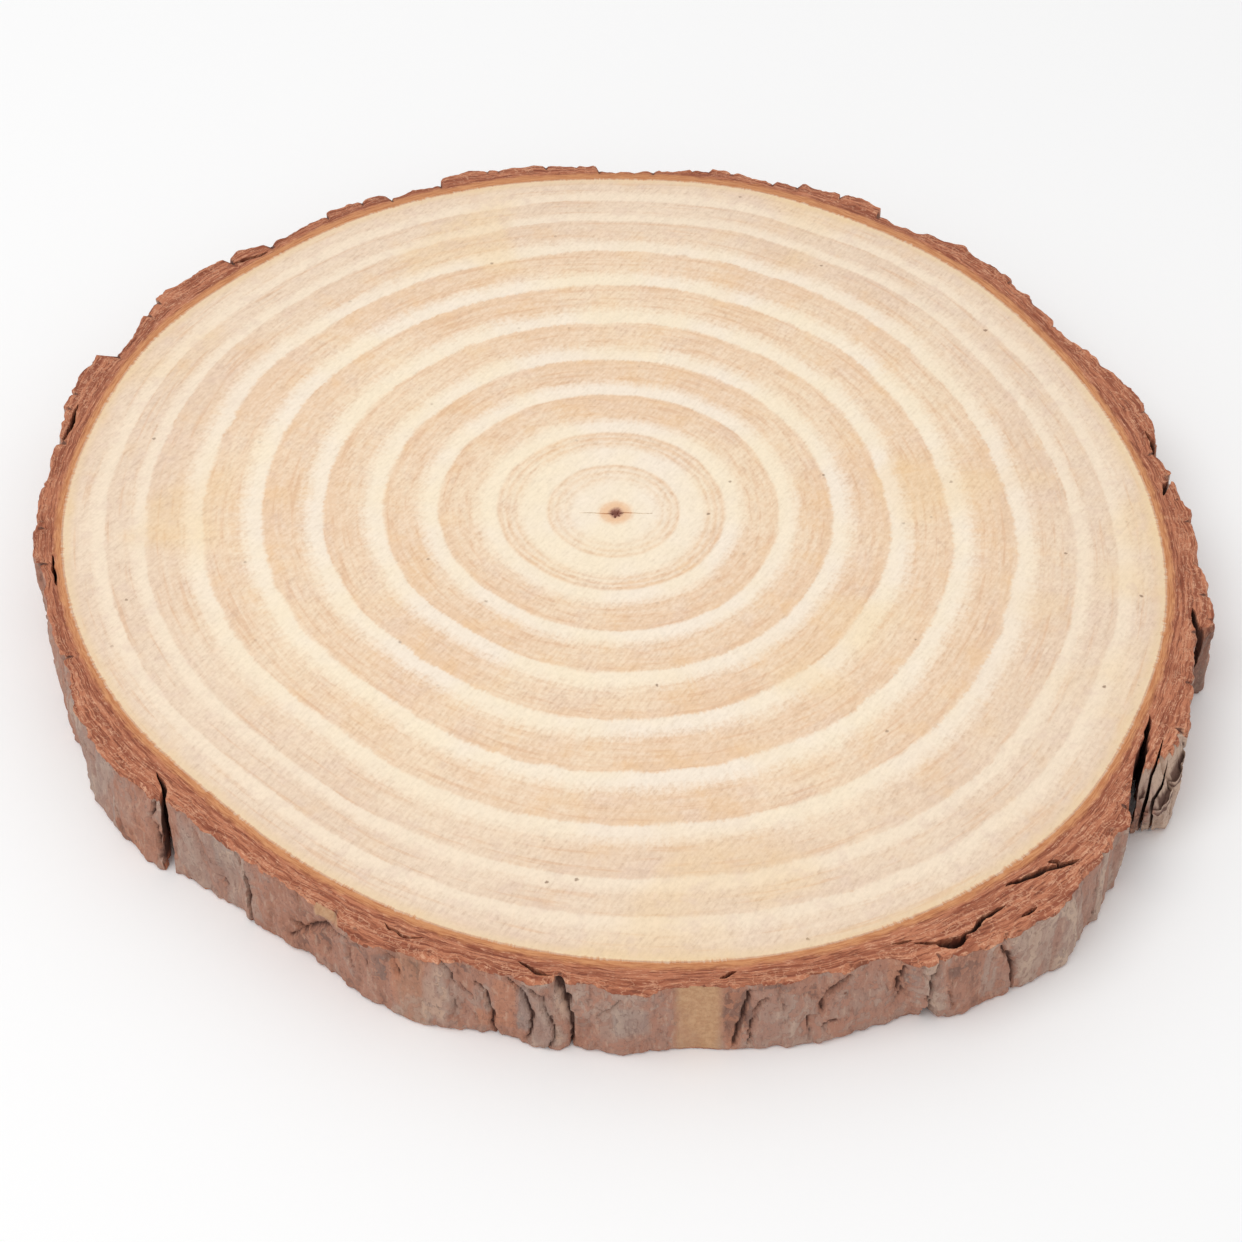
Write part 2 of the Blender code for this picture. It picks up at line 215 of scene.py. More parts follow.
# Hollows in the bark's outside: angle and height of the middle, half of the width and of the
# height, and the depth
Hollow = namedtuple("Hollow", "angle height half_width half_height depth")
HOLLOWS = tuple(Hollow(*sizes) for sizes in (
    (265.1, 14.9, 0.9, 2.3, 1.5),
    (265.8, 12.2, 0.8, 2.0, 2.4),
    (266.1, 8.9, 0.5, 0.9, 1.4),
    (267.2, 5.4, 1.8, 4.2, 0.8),
    (239.1, 6.9, 1.2, 0.8, 1.3),
))

# Smooth ochre places where the outer bark has come away: angle, half width, strength
BARE_PATCHES = ((276.9, 2.0, 0.9), (251.8, 1.3, 0.15))

# A flat chip off the rim: its two ends in degrees, and how tall it is at the first
CHIP_START, CHIP_END, CHIP_HEIGHT = 241.6, 245.2, 4.3

# Places where the outer layers of the rim have broken off in a slope: the two ends in degrees, how
# far down they end at each, and how far in from the outside the break reaches at each
RimBreak = namedtuple("RimBreak", "low high low_drop high_drop low_reach high_reach")
RIM_BREAKS = (
    RimBreak(322.0, 330.6, 10.5, 2.4, 6.5, 1.2),
)

# The outer plate beyond the flap ends at the right slit: its torn end, in degrees
PLATE_END = 343.3

# Strips of the outside with a tint of their own: the two ends in degrees, lowest and highest
# place, warmth from -1 for bluish grey to 1 for orange-brown, and how much lighter it is
Strip = namedtuple("Strip", "start end low high warmth light")
STRIPS = tuple(Strip(*sizes) for sizes in (
    (204.0, 215.8, 0.0, 18.0, -0.45, 0.20),
    (216.0, 221.4, 0.0, 12.0, 0.40, 0.05),
    (223.6, 231.7, 0.0, 18.0, -0.40, 0.12),
    (236.5, 241.8, 0.0, 9.0, 0.30, 0.00),
    (245.6, 249.6, 0.0, 15.0, -0.20, -0.18),
    (249.7, 250.7, 3.0, 15.5, 0.75, -0.05),
    (250.8, 252.9, 0.0, 15.0, 0.00, -0.30),
    (252.7, 254.9, 2.0, 15.5, 0.30, 0.28),
    (257.6, 259.3, 2.0, 6.5, 0.90, 0.00),
    (259.2, 261.2, 3.0, 15.5, 0.90, 0.05),
    (261.2, 262.4, 3.0, 15.0, -1.00, -0.10),
    (262.5, 264.4, 1.0, 13.0, -0.50, 0.00),
    (264.5, 266.0, 1.0, 14.0, 0.30, 0.20),
    (269.5, 272.6, 5.0, 12.0, -0.60, 0.10),
    (279.0, 280.4, 0.0, 16.0, 0.50, -0.20),
    (281.0, 284.6, 0.0, 16.0, -0.20, -0.12),
    (292.9, 294.2, 9.0, 17.0, 1.00, 0.25),
    (294.3, 295.5, 10.0, 16.0, -0.60, -0.40),
    (295.6, 296.6, 13.6, 17.0, 0.40, 0.40),
    (297.0, 302.0, 0.0, 14.0, 0.00, -0.12),
    (307.0, 320.5, 0.0, 18.0, -0.30, 0.06),
    (325.4, 331.4, 0.0, 18.0, -0.10, 0.40),
))


# Shapes and noise

def deselect_all():
    for thing in bpy.context.selected_objects:
        thing.select_set(False)


def lattice(i, j, k, seed):
    """A repeatable random number from -1 to 1 for each whole-numbered place."""
    mixed = (i * 73856093) ^ (j * 19349663) ^ (k * 83492791) ^ (seed * 26544357)
    mixed = (mixed ^ (mixed >> 13)) * 1274126177
    mixed = (mixed ^ (mixed >> 16)) & 0x7FFFFFFF
    return mixed / 0x3FFFFFFF - 1.0


def smooth_noise(x, y, z, seed):
    """Noise from -1 to 1 that changes over a length of about 1."""
    corner = [np.floor(axis).astype(np.int64) for axis in (x, y, z)]
    part = [axis - low for axis, low in zip((x, y, z), corner)]
    ease = [p * p * (3.0 - 2.0 * p) for p in part]
    total = 0.0
    for di in (0, 1):
        for dj in (0, 1):
            for dk in (0, 1):
                weight = ease[0] if di else 1.0 - ease[0]
                weight = weight * (ease[1] if dj else 1.0 - ease[1])
                weight = weight * (ease[2] if dk else 1.0 - ease[2])
                total += weight * lattice(corner[0] + di, corner[1] + dj, corner[2] + dk, seed)
    return total


def rough_noise(x, y, z, seed, octaves=3):
    total, share, scale = 0.0, 1.0, 1.0
    for octave in range(octaves):
        total += share * smooth_noise(x * scale, y * scale, z * scale, seed + octave)
        share *= 0.5
        scale *= 2.03
    return total


def smooth_step(value, low, high):
    t = np.clip((value - low) / (high - low), 0.0, 1.0)
    return t * t * (3.0 - 2.0 * t)


def between(value, rise, fall):
    """From 0 to 1 over the rise, and back to 0 over the fall: each is where it is 0 and where it is 1."""
    return smooth_step(value, *rise) * smooth_step(value, *fall)


def angles_of(x, y):
    return np.degrees(np.arctan2(y, x)) % 360.0


def nearest_part(degrees, count):
    """Which of the equal parts of a full turn starts nearest to each angle."""
    return np.rint(degrees / 360.0 * count).astype(np.int64) % count


def turn_between(degrees, angle):
    """The shorter way round from an angle to each place, from -180 to 180."""
    return (degrees - angle + 180.0) % 360.0 - 180.0


def on_circle(radius, degrees):
    """The x and y of places on a circle round the pith."""
    turn = np.radians(degrees)
    return radius * np.cos(turn), radius * np.sin(turn)


# The slice's own lines

def wood_radius(degrees):
    """Distance from the pith to the edge of the wood: a smooth closed curve through WOOD_RADII."""
    count = len(WOOD_RADII)
    place = (degrees % 360.0) / 360.0 * count
    index = np.floor(place).astype(np.int64)
    t = place - index
    a, b, c, d = (WOOD_RADII[(index + k - 1) % count] for k in range(4))
    return b + 0.5 * t * (c - a + t * (2 * a - 5 * b + 4 * c - d + t * (3 * (b - c) + d - a)))


def growth_radius(growth, degrees):
    """Where a line of equal growth runs: round at the pith, and along the outline at the bark."""
    share = growth / MEAN_RADIUS
    outline = 1.0 + np.sqrt(share) * (wood_radius(degrees) / MEAN_RADIUS - 1.0)
    shift = RING_SHIFT * np.cos(np.radians(degrees - RING_SHIFT_TOWARDS)) - 0.4
    return growth * outline + shift * np.sin(np.pi * share)


def plate_wander():
    """How far each fissure wanders from its place at the foot, in degrees."""
    draw = random.Random(17)
    count = len(PLATES)
    widths = [(PLATES[(i + 1) % count].start - plate.start) % 360.0 for i, plate in enumerate(PLATES)]
    wander = []
    for i, width in enumerate(widths):
        limit = min(MEANDER, MEANDER_SHARE * min(width, widths[i - 1]))
        wander.append(draw.uniform(-limit, limit))
    return np.array(wander), np.array(widths)


WANDER, WIDTHS = plate_wander()
STARTS = np.array([plate.start for plate in PLATES])


def plate_thickness(degrees, share):
    """The bark's thickness by its plates, over the share of the height from the foot to the top.

    Gives the thickness of the floor between the plates too.
    """
    meander = np.interp(degrees, STARTS, WANDER, period=360.0)
    away_from_front = smooth_step(np.abs(degrees - FRONT_MIDDLE), 56.0, 66.0)
    meander = meander * (0.5 + np.sin(4.0 * share + meander)) * away_from_front
    lean = np.interp(degrees, [angle for angle, _ in LEANS], [side for _, side in LEANS], period=360.0)
    own = degrees - (meander + lean) * (1.0 - share)
    turned = (own - STARTS[0]) % 360.0
    index = np.searchsorted(STARTS - STARTS[0], turned, side="right") - 1
    size = np.array(PLATES)
    after = (index + 1) % len(PLATES)
    t = np.clip((turned - (STARTS[index] - STARTS[0])) / WIDTHS[index], 0.0, 1.0)
    thickness = size[index, 1] * (1 - t) * (1 - 2 * t)
    thickness += 4 * size[index, 2] * t * (1 - t) + size[index, 3] * t * (2 * t - 1)
    thickness += size[index, 4] * (1 - share)

    mm_per_degree = wood_radius(degrees) * math.pi / 180.0
    from_start = t * WIDTHS[index] * mm_per_degree
    from_end = (1 - t) * WIDTHS[index] * mm_per_degree
    floor_start = np.minimum(size[index - 1, 3], size[index, 1]) - size[index, 5]
    floor_end = np.minimum(size[index, 3], size[after, 1]) - size[after, 5]
    for distance, floor, depth in (
        (from_start, floor_start, size[index, 5]),
        (from_end, floor_end, size[after, 5]),
    ):
        half = 0.3 + 0.15 * depth
        groove = 1.0 - smooth_step(distance, 0.25 * half, half)
        thickness -= groove * away_from_front * np.maximum(thickness - floor, 0.0)
    return thickness


def crack_depths(degrees, height):
    """How deep the cracks go at each place, and how far the bark stands up beside them."""
    depth = np.zeros(degrees.shape)
    raised = np.zeros(degrees.shape)
    for crack in CRACKS + back_cracks():
        points = np.array(crack.line)
        near = np.abs(turn_between(degrees, points[:, 0].mean())) < np.ptp(points[:, 0]) / 2 + 4.0
        x = turn_between(degrees[near], points[0, 0]) * MM_PER_DEGREE
        y = height[near]
        line_x = (points[:, 0] - points[0, 0]) * MM_PER_DEGREE
        line_y = points[:, 1]
        x = x + 0.28 * smooth_noise(x * 0.3 + points[0, 0], y * 0.9, y * 0.0, 201)
        y = y + 0.25 * smooth_noise(x * 0.9 + points[0, 0], y * 0.9, y * 0.0, 202)
        nearest = np.full(x.shape, 99.0)
        side = np.zeros(x.shape)
        place = np.zeros(x.shape)
        last = len(line_x) - 2
        for k in range(last + 1):
            run_x, run_y = line_x[k + 1] - line_x[k], line_y[k + 1] - line_y[k]
            length = math.hypot(run_x, run_y)
            t = np.clip(((x - line_x[k]) * run_x + (y - line_y[k]) * run_y) / length ** 2, 0.0, 1.0)
            off_x = x - line_x[k] - t * run_x
            off_y = y - line_y[k] - t * run_y
            distance = np.hypot(off_x, off_y)
            closer = distance < nearest
            hand = np.sign(run_x * off_y - run_y * off_x)
            side = np.where(closer, hand, side)
            place = np.where(closer, (k + t) / (last + 1), place)
            nearest = np.where(closer, distance, nearest)
        width = crack.width * (0.45 + 0.55 * np.sin(math.pi * np.clip(0.12 + 0.76 * place, 0, 1)))
        cut = crack.depth * (1.0 - smooth_step(nearest, 0.12 * width, 0.52 * width))
        depth[near] = np.maximum(depth[near], cut)
        downwards = -np.sign(line_y[-1] - line_y[0])
        swell = -side * downwards * 0.7 * crack.lift * np.exp(-nearest / 1.8)
        swell = swell * smooth_step(nearest, 0.0, 0.3) * np.sin(math.pi * np.clip(0.1 + 0.8 * place, 0, 1))
        raised[near] += swell
    return depth, raised


def back_cracks():
    """Cracks for the sides and the back, from a little over every 4 degrees: each runs down unevenly."""
    draw = random.Random(29)
    cracks = []
    degrees = 331.0
    while degrees < 331.0 + 234.0:
        top = draw.choice((17.5, 17.5, draw.uniform(7.0, 14.0)))
        foot = draw.choice((-1.0, draw.uniform(0.0, 8.0)))
        line = []
        angle = degrees
        for share in (0.0, 0.25, 0.5, 0.75, 1.0):
            line.append((angle, top + (foot - top) * share))
            angle += draw.uniform(-0.7, 0.7)
        width = draw.uniform(0.5, 1.1)
        cracks.append(Crack(width, 1.3 * width, draw.uniform(-0.5, 0.6), tuple(line)))
        degrees += draw.uniform(2.2, 6.5)
    return tuple(cracks)


# Spacing of the bark's maps: degrees round the slice, and millimetres up it
MAP_TURN = 0.2
MAP_RISE = 0.25


def blurred(values, turns, rises):
    """The mean over a small window: round the slice, and up and down."""
    total = sum(np.roll(values, shift, axis=0) for shift in range(-turns, turns + 1)) / (2 * turns + 1)
    padded = np.pad(total, ((0, 0), (rises, rises)), mode="edge")
    rows = total.shape[1]
    return sum(padded[:, k:k + rows] for k in range(2 * rises + 1)) / (2 * rises + 1)


def long_slit_depth(degrees):
    """Distance from the wood to the long slit's line."""
    angles, radii = np.array(LONG_SLIT).T
    return np.interp(degrees, angles, radii) - wood_radius(degrees)


def torn_sheets(past, width):
    """From 0 to 1 over a width past a plate's torn end, in five steps like its broken sheets."""
    level = past / width * 5.0
    return np.clip((np.floor(level) + smooth_step(level % 1.0, 0.0, 0.3)) / 5.0, 0.0, 1.0)


def make_bark_maps():
    """The bark's outside, unrolled: thickness, how hollow each place is, the painted shade of its hollows,
    and the tone of its sheet.
    """
    turns = np.arange(0.0, 360.0, MAP_TURN)
    rises = np.arange(0.0, THICKNESS + 0.01, MAP_RISE)
    degrees, height = np.meshgrid(turns, rises, indexing="ij")
    share = height / THICKNESS
    x, y = on_circle(100.0, degrees)
    ragged = smooth_noise(x / 1.9, y / 1.9, height / 3.2, 3)
    ragged = ragged + 0.6 * smooth_noise(x / 0.9, y / 0.9, height / 1.6, 4)
    plain = plate_thickness((degrees + 0.13 * ragged) % 360.0, share)
    front = 1.0 - smooth_step(np.abs(degrees - FRONT_MIDDLE), 56.0, 62.0)
    plain = plain + front * (blurred(plain, 4, 0) - plain)

    # Short of the flap and of the outer plate beyond it, only the bark inside their slits is left
    inner = long_slit_depth(degrees) - 0.8
    end = FLAP_FOOT + (FLAP_TOP - FLAP_FOOT) * share + 0.35 * ragged
    flap = torn_sheets(degrees - end + 0.6, 3.0)
    short = (degrees > LONG_SLIT[0][0]) & (degrees < LONG_SLIT[-1][0])
    plain = np.where(short, np.minimum(plain, inner + np.maximum(plain - inner, 0.0) * flap), plain)
    plate = torn_sheets(degrees - PLATE_END - 0.1 + 0.15 * ragged, 1.4)
    short = (degrees > PLATE_END) & (degrees < PLATE_END + 3.0)
    plain = np.where(short, 5.6 + (plain - 5.6) * plate, plain)

    # The bark comes off in sheets: smooth swellings are cut into steps with ragged rims
    swell = 0.62 * rough_noise(x / 7.5, y / 7.5, height / 19.0, 11, 4)
    raw = plain + swell
    sheet = 0.52
    level = (raw + 0.3 * rough_noise(x / 16.0, y / 16.0, height / 30.0, 15)) / sheet
    step = np.floor(level)
    thickness = 0.35 * raw + 0.65 * sheet * (step + smooth_step(level - step, 0.0, 0.16))
    small = rough_noise(x / 3.2, y / 3.2, height / 8.0, 19, 4) * 2.2
    small_step = np.floor(small)
    thickness += 0.17 * (small_step + smooth_step(small - small_step, 0.0, 0.2))

    cracks, raised = crack_depths(degrees, height)
    thickness += raised - cracks
    grain = rough_noise(x / 0.9, y / 0.9, height / 2.0, 71)
    lumps = rough_noise(x / 4.0, y / 4.0, height / 4.0, 81)
    thickness += 0.09 * grain + 0.14 * lumps

    # The top edge is broken off a little, with its fibres torn
    flat = np.zeros(degrees.shape)
    broken = 0.75 + 0.8 * rough_noise(x / 4.0, y / 4.0, flat, 121) + 0.3 * smooth_noise(x, y, flat, 125)
    broken = np.clip(broken, 0.2, 2.2)
    near_top = np.clip((height - THICKNESS + broken) / broken, 0.0, 1.0)
    torn = smooth_noise(x / 0.7, y / 0.7, height / 2.5, 123)
    thickness -= near_top ** 1.6 * (0.42 * broken + 0.2 * torn)
    near_foot = np.clip((0.9 - height) / 0.9, 0.0, 1.0)
    thickness -= 0.3 * near_foot ** 2

    # Painted shade: each hollow is darkened by its depth, and the torn end of the plate past the right slit
    # is darkened too
    shade = np.zeros(degrees.shape)
    for hollow in HOLLOWS:
        across = turn_between(degrees, hollow.angle) * MM_PER_DEGREE / hollow.half_width
        off = np.hypot(across, (height - hollow.height) / hollow.half_height) + 0.26 * ragged
        part = 1.0 - smooth_step(off, 0.66, 1.05)
        thickness -= hollow.depth * part
        shade = np.maximum(shade, part * min(1.0, hollow.depth / 1.5))
    plate_end = between(degrees, (PLATE_END - 0.4, PLATE_END), (PLATE_END + 1.9, PLATE_END + 1.3))
    shade = np.maximum(shade, 0.9 * plate_end)

    bare = np.zeros(degrees.shape)
    for angle, half, strength in BARE_PATCHES:
        off = np.abs(turn_between(degrees + 0.12 * ragged, angle))
        part = strength * (1.0 - smooth_step(off, 0.7 * half, 1.15 * half))
        part = part * (0.72 + 0.28 * smooth_step(swell + 0.5 * ragged, -0.5, 0.3))
        smooth = plate_thickness(np.full(degrees.shape, angle), share) - 0.2
        thickness += part * 0.9 * (1.0 - near_top) * (smooth + 0.03 * grain - thickness)
        bare = np.maximum(bare, part)
    chip_foot = THICKNESS - CHIP_HEIGHT * (CHIP_END - degrees) / (CHIP_END - CHIP_START)
    on_chip = (degrees > CHIP_START) & (degrees < CHIP_END) & (height > chip_foot)
    chip_face = 4.9 + 0.36 * (THICKNESS - height) + 3.0 * smooth_step(degrees, CHIP_END - 1.5, CHIP_END)
    bare = np.where(on_chip & (thickness > chip_face - 0.5), 0.85, bare)
    thickness = np.where(on_chip, np.minimum(thickness, chip_face), thickness)
    chip_middle = (CHIP_START + CHIP_END) / 2.0
    broken = broken + (0.2 - broken) * smooth_step(np.abs(degrees - chip_middle), 2.6, 1.2)
    thickness = np.maximum(thickness, 0.9)
    hollow = blurred(thickness, 4, 4) - thickness

    sheet_chance = lattice(step.astype(np.int64), (degrees / 7.0).astype(np.int64) % 51, 0, 5)
    tone = 0.52 + 0.20 * sheet_chance + 0.16 * (raw - blurred(raw, 20, 12)) + 0.08 * small_step
    tone += 0.16 * rough_noise(x / 12.0, y / 12.0, height / 14.0, 141)
    warmth = np.zeros(degrees.shape)
    for strip in STRIPS:
        place = degrees + 0.22 * ragged
        low, high = strip.low, strip.high
        part = between(place, (strip.start - 0.2, strip.start + 0.3), (strip.end + 0.3, strip.end - 0.2))
        part = part * between(height, (low - 0.8, low + 0.8), (high + 0.8, high - 0.8))
        warmth += strip.warmth * part
        tone += strip.light * part
    return {
        "thickness": thickness, "hollow": hollow, "shade": shade, "tone": tone, "warmth": warmth,
        "bare": bare, "broken": broken,
    }


BARK_MAPS = make_bark_maps()


def on_map(name, degrees, height):
    """Reads one of the bark's maps at any angles and heights."""
    values = BARK_MAPS[name]
    across = (degrees % 360.0) / MAP_TURN
    left = np.floor(across).astype(np.int64) % values.shape[0]
    right = (left + 1) % values.shape[0]
    part_across = across - np.floor(across)
    up = np.clip(height / MAP_RISE, 0.0, values.shape[1] - 1.001)
    low = np.floor(up).astype(np.int64)
    part_up = up - low
    below = values[left, low] * (1 - part_across) + values[right, low] * part_across
    above = values[left, low + 1] * (1 - part_across) + values[right, low + 1] * part_across
    return below * (1 - part_up) + above * part_up


def set_points(thing, x, y, z):
    thing.data.vertices.foreach_set("co", (np.stack([x, y, z], axis=1) * MM).ravel())
    thing.data.update()


def get_points(thing):
    points = np.empty(len(thing.data.vertices) * 3)
    thing.data.vertices.foreach_get("co", points)
    return points.reshape(-1, 3)


def turn_round(thing, lines):
    """Turns a section round the Z axis into a closed surface, with faces outward."""
    screw = thing.modifiers.new("turned", "SCREW")
    screw.steps = lines
    screw.render_steps = lines
    screw.use_merge_vertices = True
    screw.merge_threshold = 0.0005
    bpy.context.view_layer.objects.active = thing
    bpy.ops.object.modifier_apply(modifier=screw.name)
    bpy.ops.object.mode_set(mode="EDIT")
    bpy.ops.mesh.select_all(action="SELECT")
    bpy.ops.mesh.normals_make_consistent(inside=False)
    bpy.ops.object.mode_set(mode="OBJECT")


def add_values(thing, name, values):
    """Stores a number, or three, at each point of a piece for its material to read."""
    kind = "FLOAT_VECTOR" if values.ndim == 2 else "FLOAT"
    key = "vector" if values.ndim == 2 else "value"
    attribute = thing.data.attributes.new(name, kind, "POINT")
    attribute.data.foreach_set(key, values.astype(np.float32).ravel())


# The wood: a ball of rings and spokes is laid out flat, along the lines of growth

WOOD_SPOKES = 480
STAR_POINTS = 7
STAR_RADIUS = 1.35
STAR_DEPTH = 0.7
CHECK_HALF_LENGTH = 6.5
CHECK_HALF_WIDTH = 0.17
CHECK_DEPTH = 0.8


def wood_section():
    """The rings of points from the middle of the top face, over the edge, to the middle below."""
    fine = list(np.arange(0.0, 3.0, 0.2))
    middle = list(np.arange(3.0, 8.0, 0.4))
    wide = list(np.linspace(8.0, MEAN_RADIUS, 88))
    top = [(growth, THICKNESS) for growth in fine + middle + wide]
    wall = [(MEAN_RADIUS, THICKNESS * share) for share in (0.97, 0.66, 0.33, 0.03)]
    below = [(growth, 0.0) for growth in np.linspace(MEAN_RADIUS, 0.0, 44)]
    return np.array(top + wall + below)


def make_wood():
    section = wood_section()
    rings = len(section) - 1
    deselect_all()
    bpy.ops.mesh.primitive_circle_add(vertices=2 * rings, radius=1.0, rotation=(math.pi / 2, 0.0, 0.0))
    wood = bpy.context.object
    wood.name = "wood_visual"
    bpy.ops.object.transform_apply(location=True, rotation=True, scale=True)
    bpy.ops.object.mode_set(mode="EDIT")
    bpy.ops.mesh.select_all(action="SELECT")
    bpy.ops.mesh.bisect(plane_co=(-0.0001, 0.0, 0.0), plane_no=(1.0, 0.0, 0.0), clear_inner=True)
    bpy.ops.mesh.select_all(action="SELECT")
    bpy.ops.mesh.remove_doubles(threshold=0.001)
    bpy.ops.object.mode_set(mode="OBJECT")
    turn_round(wood, WOOD_SPOKES)
    x, y, z = get_points(wood).T
    ring = np.rint(np.arccos(np.clip(z, -1.0, 1.0)) / math.pi * rings).astype(np.int64)
    degrees = angles_of(x, y)
    growth, height = section[ring].T
    radius = growth_radius(growth, degrees)
    turn = np.radians(degrees)
    x, y = on_circle(radius, degrees)

    on_top = height > THICKNESS - 0.01
    star = STAR_RADIUS * (0.72 + 0.28 * np.cos(turn * STAR_POINTS) + 0.12 * np.sin(turn * 3.0))
    pit = STAR_DEPTH * (1.0 - smooth_step(radius / star, 0.35, 1.0))
    half = CHECK_HALF_WIDTH * np.clip(1.0 - np.abs(x) / CHECK_HALF_LENGTH, 0.0, 1.0)
    bend = 0.12 * np.sin(x * 0.9)
    check = CHECK_DEPTH * (1.0 - smooth_step(np.abs(y - bend), 0.4 * half, half + 0.03))
    check = np.where(np.abs(x) < CHECK_HALF_LENGTH, check, 0.0)
    height = height - on_top * np.maximum(pit, check)
    set_points(wood, x, y, height)

    add_values(wood, "growth", growth)
    add_values(wood, "years", np.interp(growth, YEAR_ENDS, np.arange(len(YEAR_ENDS))))
    add_values(wood, "lane", np.stack([*on_circle(100.0, degrees), growth], axis=1))
    deselect_all()
    wood.select_set(True)
    bpy.ops.object.shade_smooth_by_angle(angle=math.radians(35.0))
    return wood


# The bark: a ring of points round its section, moved out to the plates' surface

BARK_LINES = 1500

# The front, from its first angle and over its turn, takes this share of the lines
FRONT_SHARE = 0.56
FRONT_START = 196.0
FRONT_TURN = 150.0

# Points of the section on each side, and the gap to the wood
SIDE_ROWS = 36
TOP_ROWS = 17
INNER_ROWS = 2
UNDER_ROWS = 5
INNER_GAP = 0.02


def rim_break(degrees, depth, thickness):
    """How far the broken layers lie below the cut face at each depth from the wood."""
    drop = np.zeros(degrees.shape)
    ragged = smooth_noise(*on_circle(60.0, degrees), 0.6 * depth, 151)
    for chip in RIM_BREAKS:
        place = degrees + 0.3 * ragged
        zone = between(place, (chip.low - 0.5, chip.low + 0.2), (chip.high + 0.5, chip.high - 0.5))
        share = np.clip((degrees - chip.low) / (chip.high - chip.low), 0.0, 1.0)
        most = chip.low_drop + (chip.high_drop - chip.low_drop) * share
        reach = chip.low_reach + (chip.high_reach - chip.low_reach) * share
        into = np.clip((depth - thickness + reach) / reach + 0.08 * ragged, 0.0, 1.0)
        outside_slit = smooth_step(depth, long_slit_depth(degrees) + 0.1, long_slit_depth(degrees) + 0.7)
        drop += most * zone * outside_slit * smooth_step(into, 0.0, 0.3) * (0.35 + 0.65 * into)
    return drop


def rim_height(degrees):
    """How high the outer edge of the cut face stands."""
    outside = np.full(degrees.shape, 9.0)
    return THICKNESS - rim_break(degrees, outside, outside)


def layer_lane(depth, thickness):
    """Which layer of the bark a place is in: near the wood they follow it, further out the plates."""
    share = np.clip(depth / np.maximum(thickness, 1.0), 0.0, 1.0)
    return depth + (6.0 * depth / np.maximum(thickness, 1.0) - depth) * 0.6 * share


def bark_section():
    """The section's points in order: (side, 0 to 1 along it). Side 0 is the outside, from foot
    to top, 1 the cut face inwards, 2 the inner wall downwards and 3 the under face outwards."""
    section = []
    for side, rows in enumerate((SIDE_ROWS, TOP_ROWS, INNER_ROWS, UNDER_ROWS)):
        for row in range(rows):
            section.append((side, row / rows))
    return np.array(section)


def line_angles(turn):
    """Spaces the bark's lines closer together along the front: turn runs from 0 to 1."""
    front = FRONT_START + FRONT_TURN * turn / FRONT_SHARE
    back = FRONT_START + FRONT_TURN + (360.0 - FRONT_TURN) * (turn - FRONT_SHARE) / (1.0 - FRONT_SHARE)
    return np.where(turn < FRONT_SHARE, front, back) % 360.0


def make_bark():
    section = bark_section()
    deselect_all()
    bpy.ops.mesh.primitive_circle_add(
        vertices=len(section), radius=5.0, location=(100.0, 0.0, 0.0), rotation=(math.pi / 2, 0.0, 0.0),
    )
    bark = bpy.context.object
    bark.name = "bark_visual"
    bpy.ops.object.transform_apply(location=True, rotation=True, scale=True)
    turn_round(bark, BARK_LINES)
    x, y, z = get_points(bark).T
    degrees = line_angles(nearest_part(angles_of(x, y), BARK_LINES) / BARK_LINES)
    side, along = section[nearest_part(angles_of(np.hypot(x, y) - 100.0, z), len(section))].T
    outside, top, inner, under = (side == k for k in range(4))

    rim = rim_height(degrees)
    height = np.where(inner, (1.0 - along) * THICKNESS, 0.0)
    height = np.where(outside, along * rim, np.where(top, rim, height))
    thickness = on_map("thickness", degrees, height)
    inward = np.where(outside, 1.0, np.where(top, 1.0 - along, np.where(inner, 0.0, along)))
    edge = wood_radius(degrees) + INNER_GAP
    depth = thickness * inward
    radius = edge + depth

    layers = layer_lines(degrees, depth, thickness)
    inside = smooth_step(depth, 1.2, 2.2) * smooth_step(thickness - depth, 0.1, 0.5)
    sunk = 0.05 + 0.26 * np.clip(0.2 - layers, 0.0, 1.3)
    drop = rim_break(degrees, depth, thickness)
    height = np.where(top, THICKNESS - drop, height)
    height = height - top * smooth_step(drop, 0.2, 1.5) * 1.7 * smooth_step(-layers, -0.1, 0.4)
    height = height - top * sunk * inside + under * 0.5 * sunk * inside
    set_points(bark, *on_circle(radius, degrees), height)
    return bark


def layer_lines(degrees, depth, thickness):
    """Uneven layers that run along the bark."""
    lane = layer_lane(depth, thickness) + 0.3 * rough_noise(*on_circle(30.0, degrees), depth * 0.25, 93)
    return rough_noise(*on_circle(9.0, degrees), lane * 1.05, 91)


def slit_line(slit, count):
    """Evenly spaced points along a slit, and its direction at each."""
    points = np.array([(r * math.cos(math.radians(a)), r * math.sin(math.radians(a))) for a, r in slit.line])
    lengths = np.concatenate([[0.0], np.cumsum(np.hypot(*np.diff(points, axis=0).T))])
    steps = np.linspace(0.0, lengths[-1], count)
    x = np.interp(steps, lengths, points[:, 0])
    y = np.interp(steps, lengths, points[:, 1])
    return x, y, np.gradient(x), np.gradient(y)


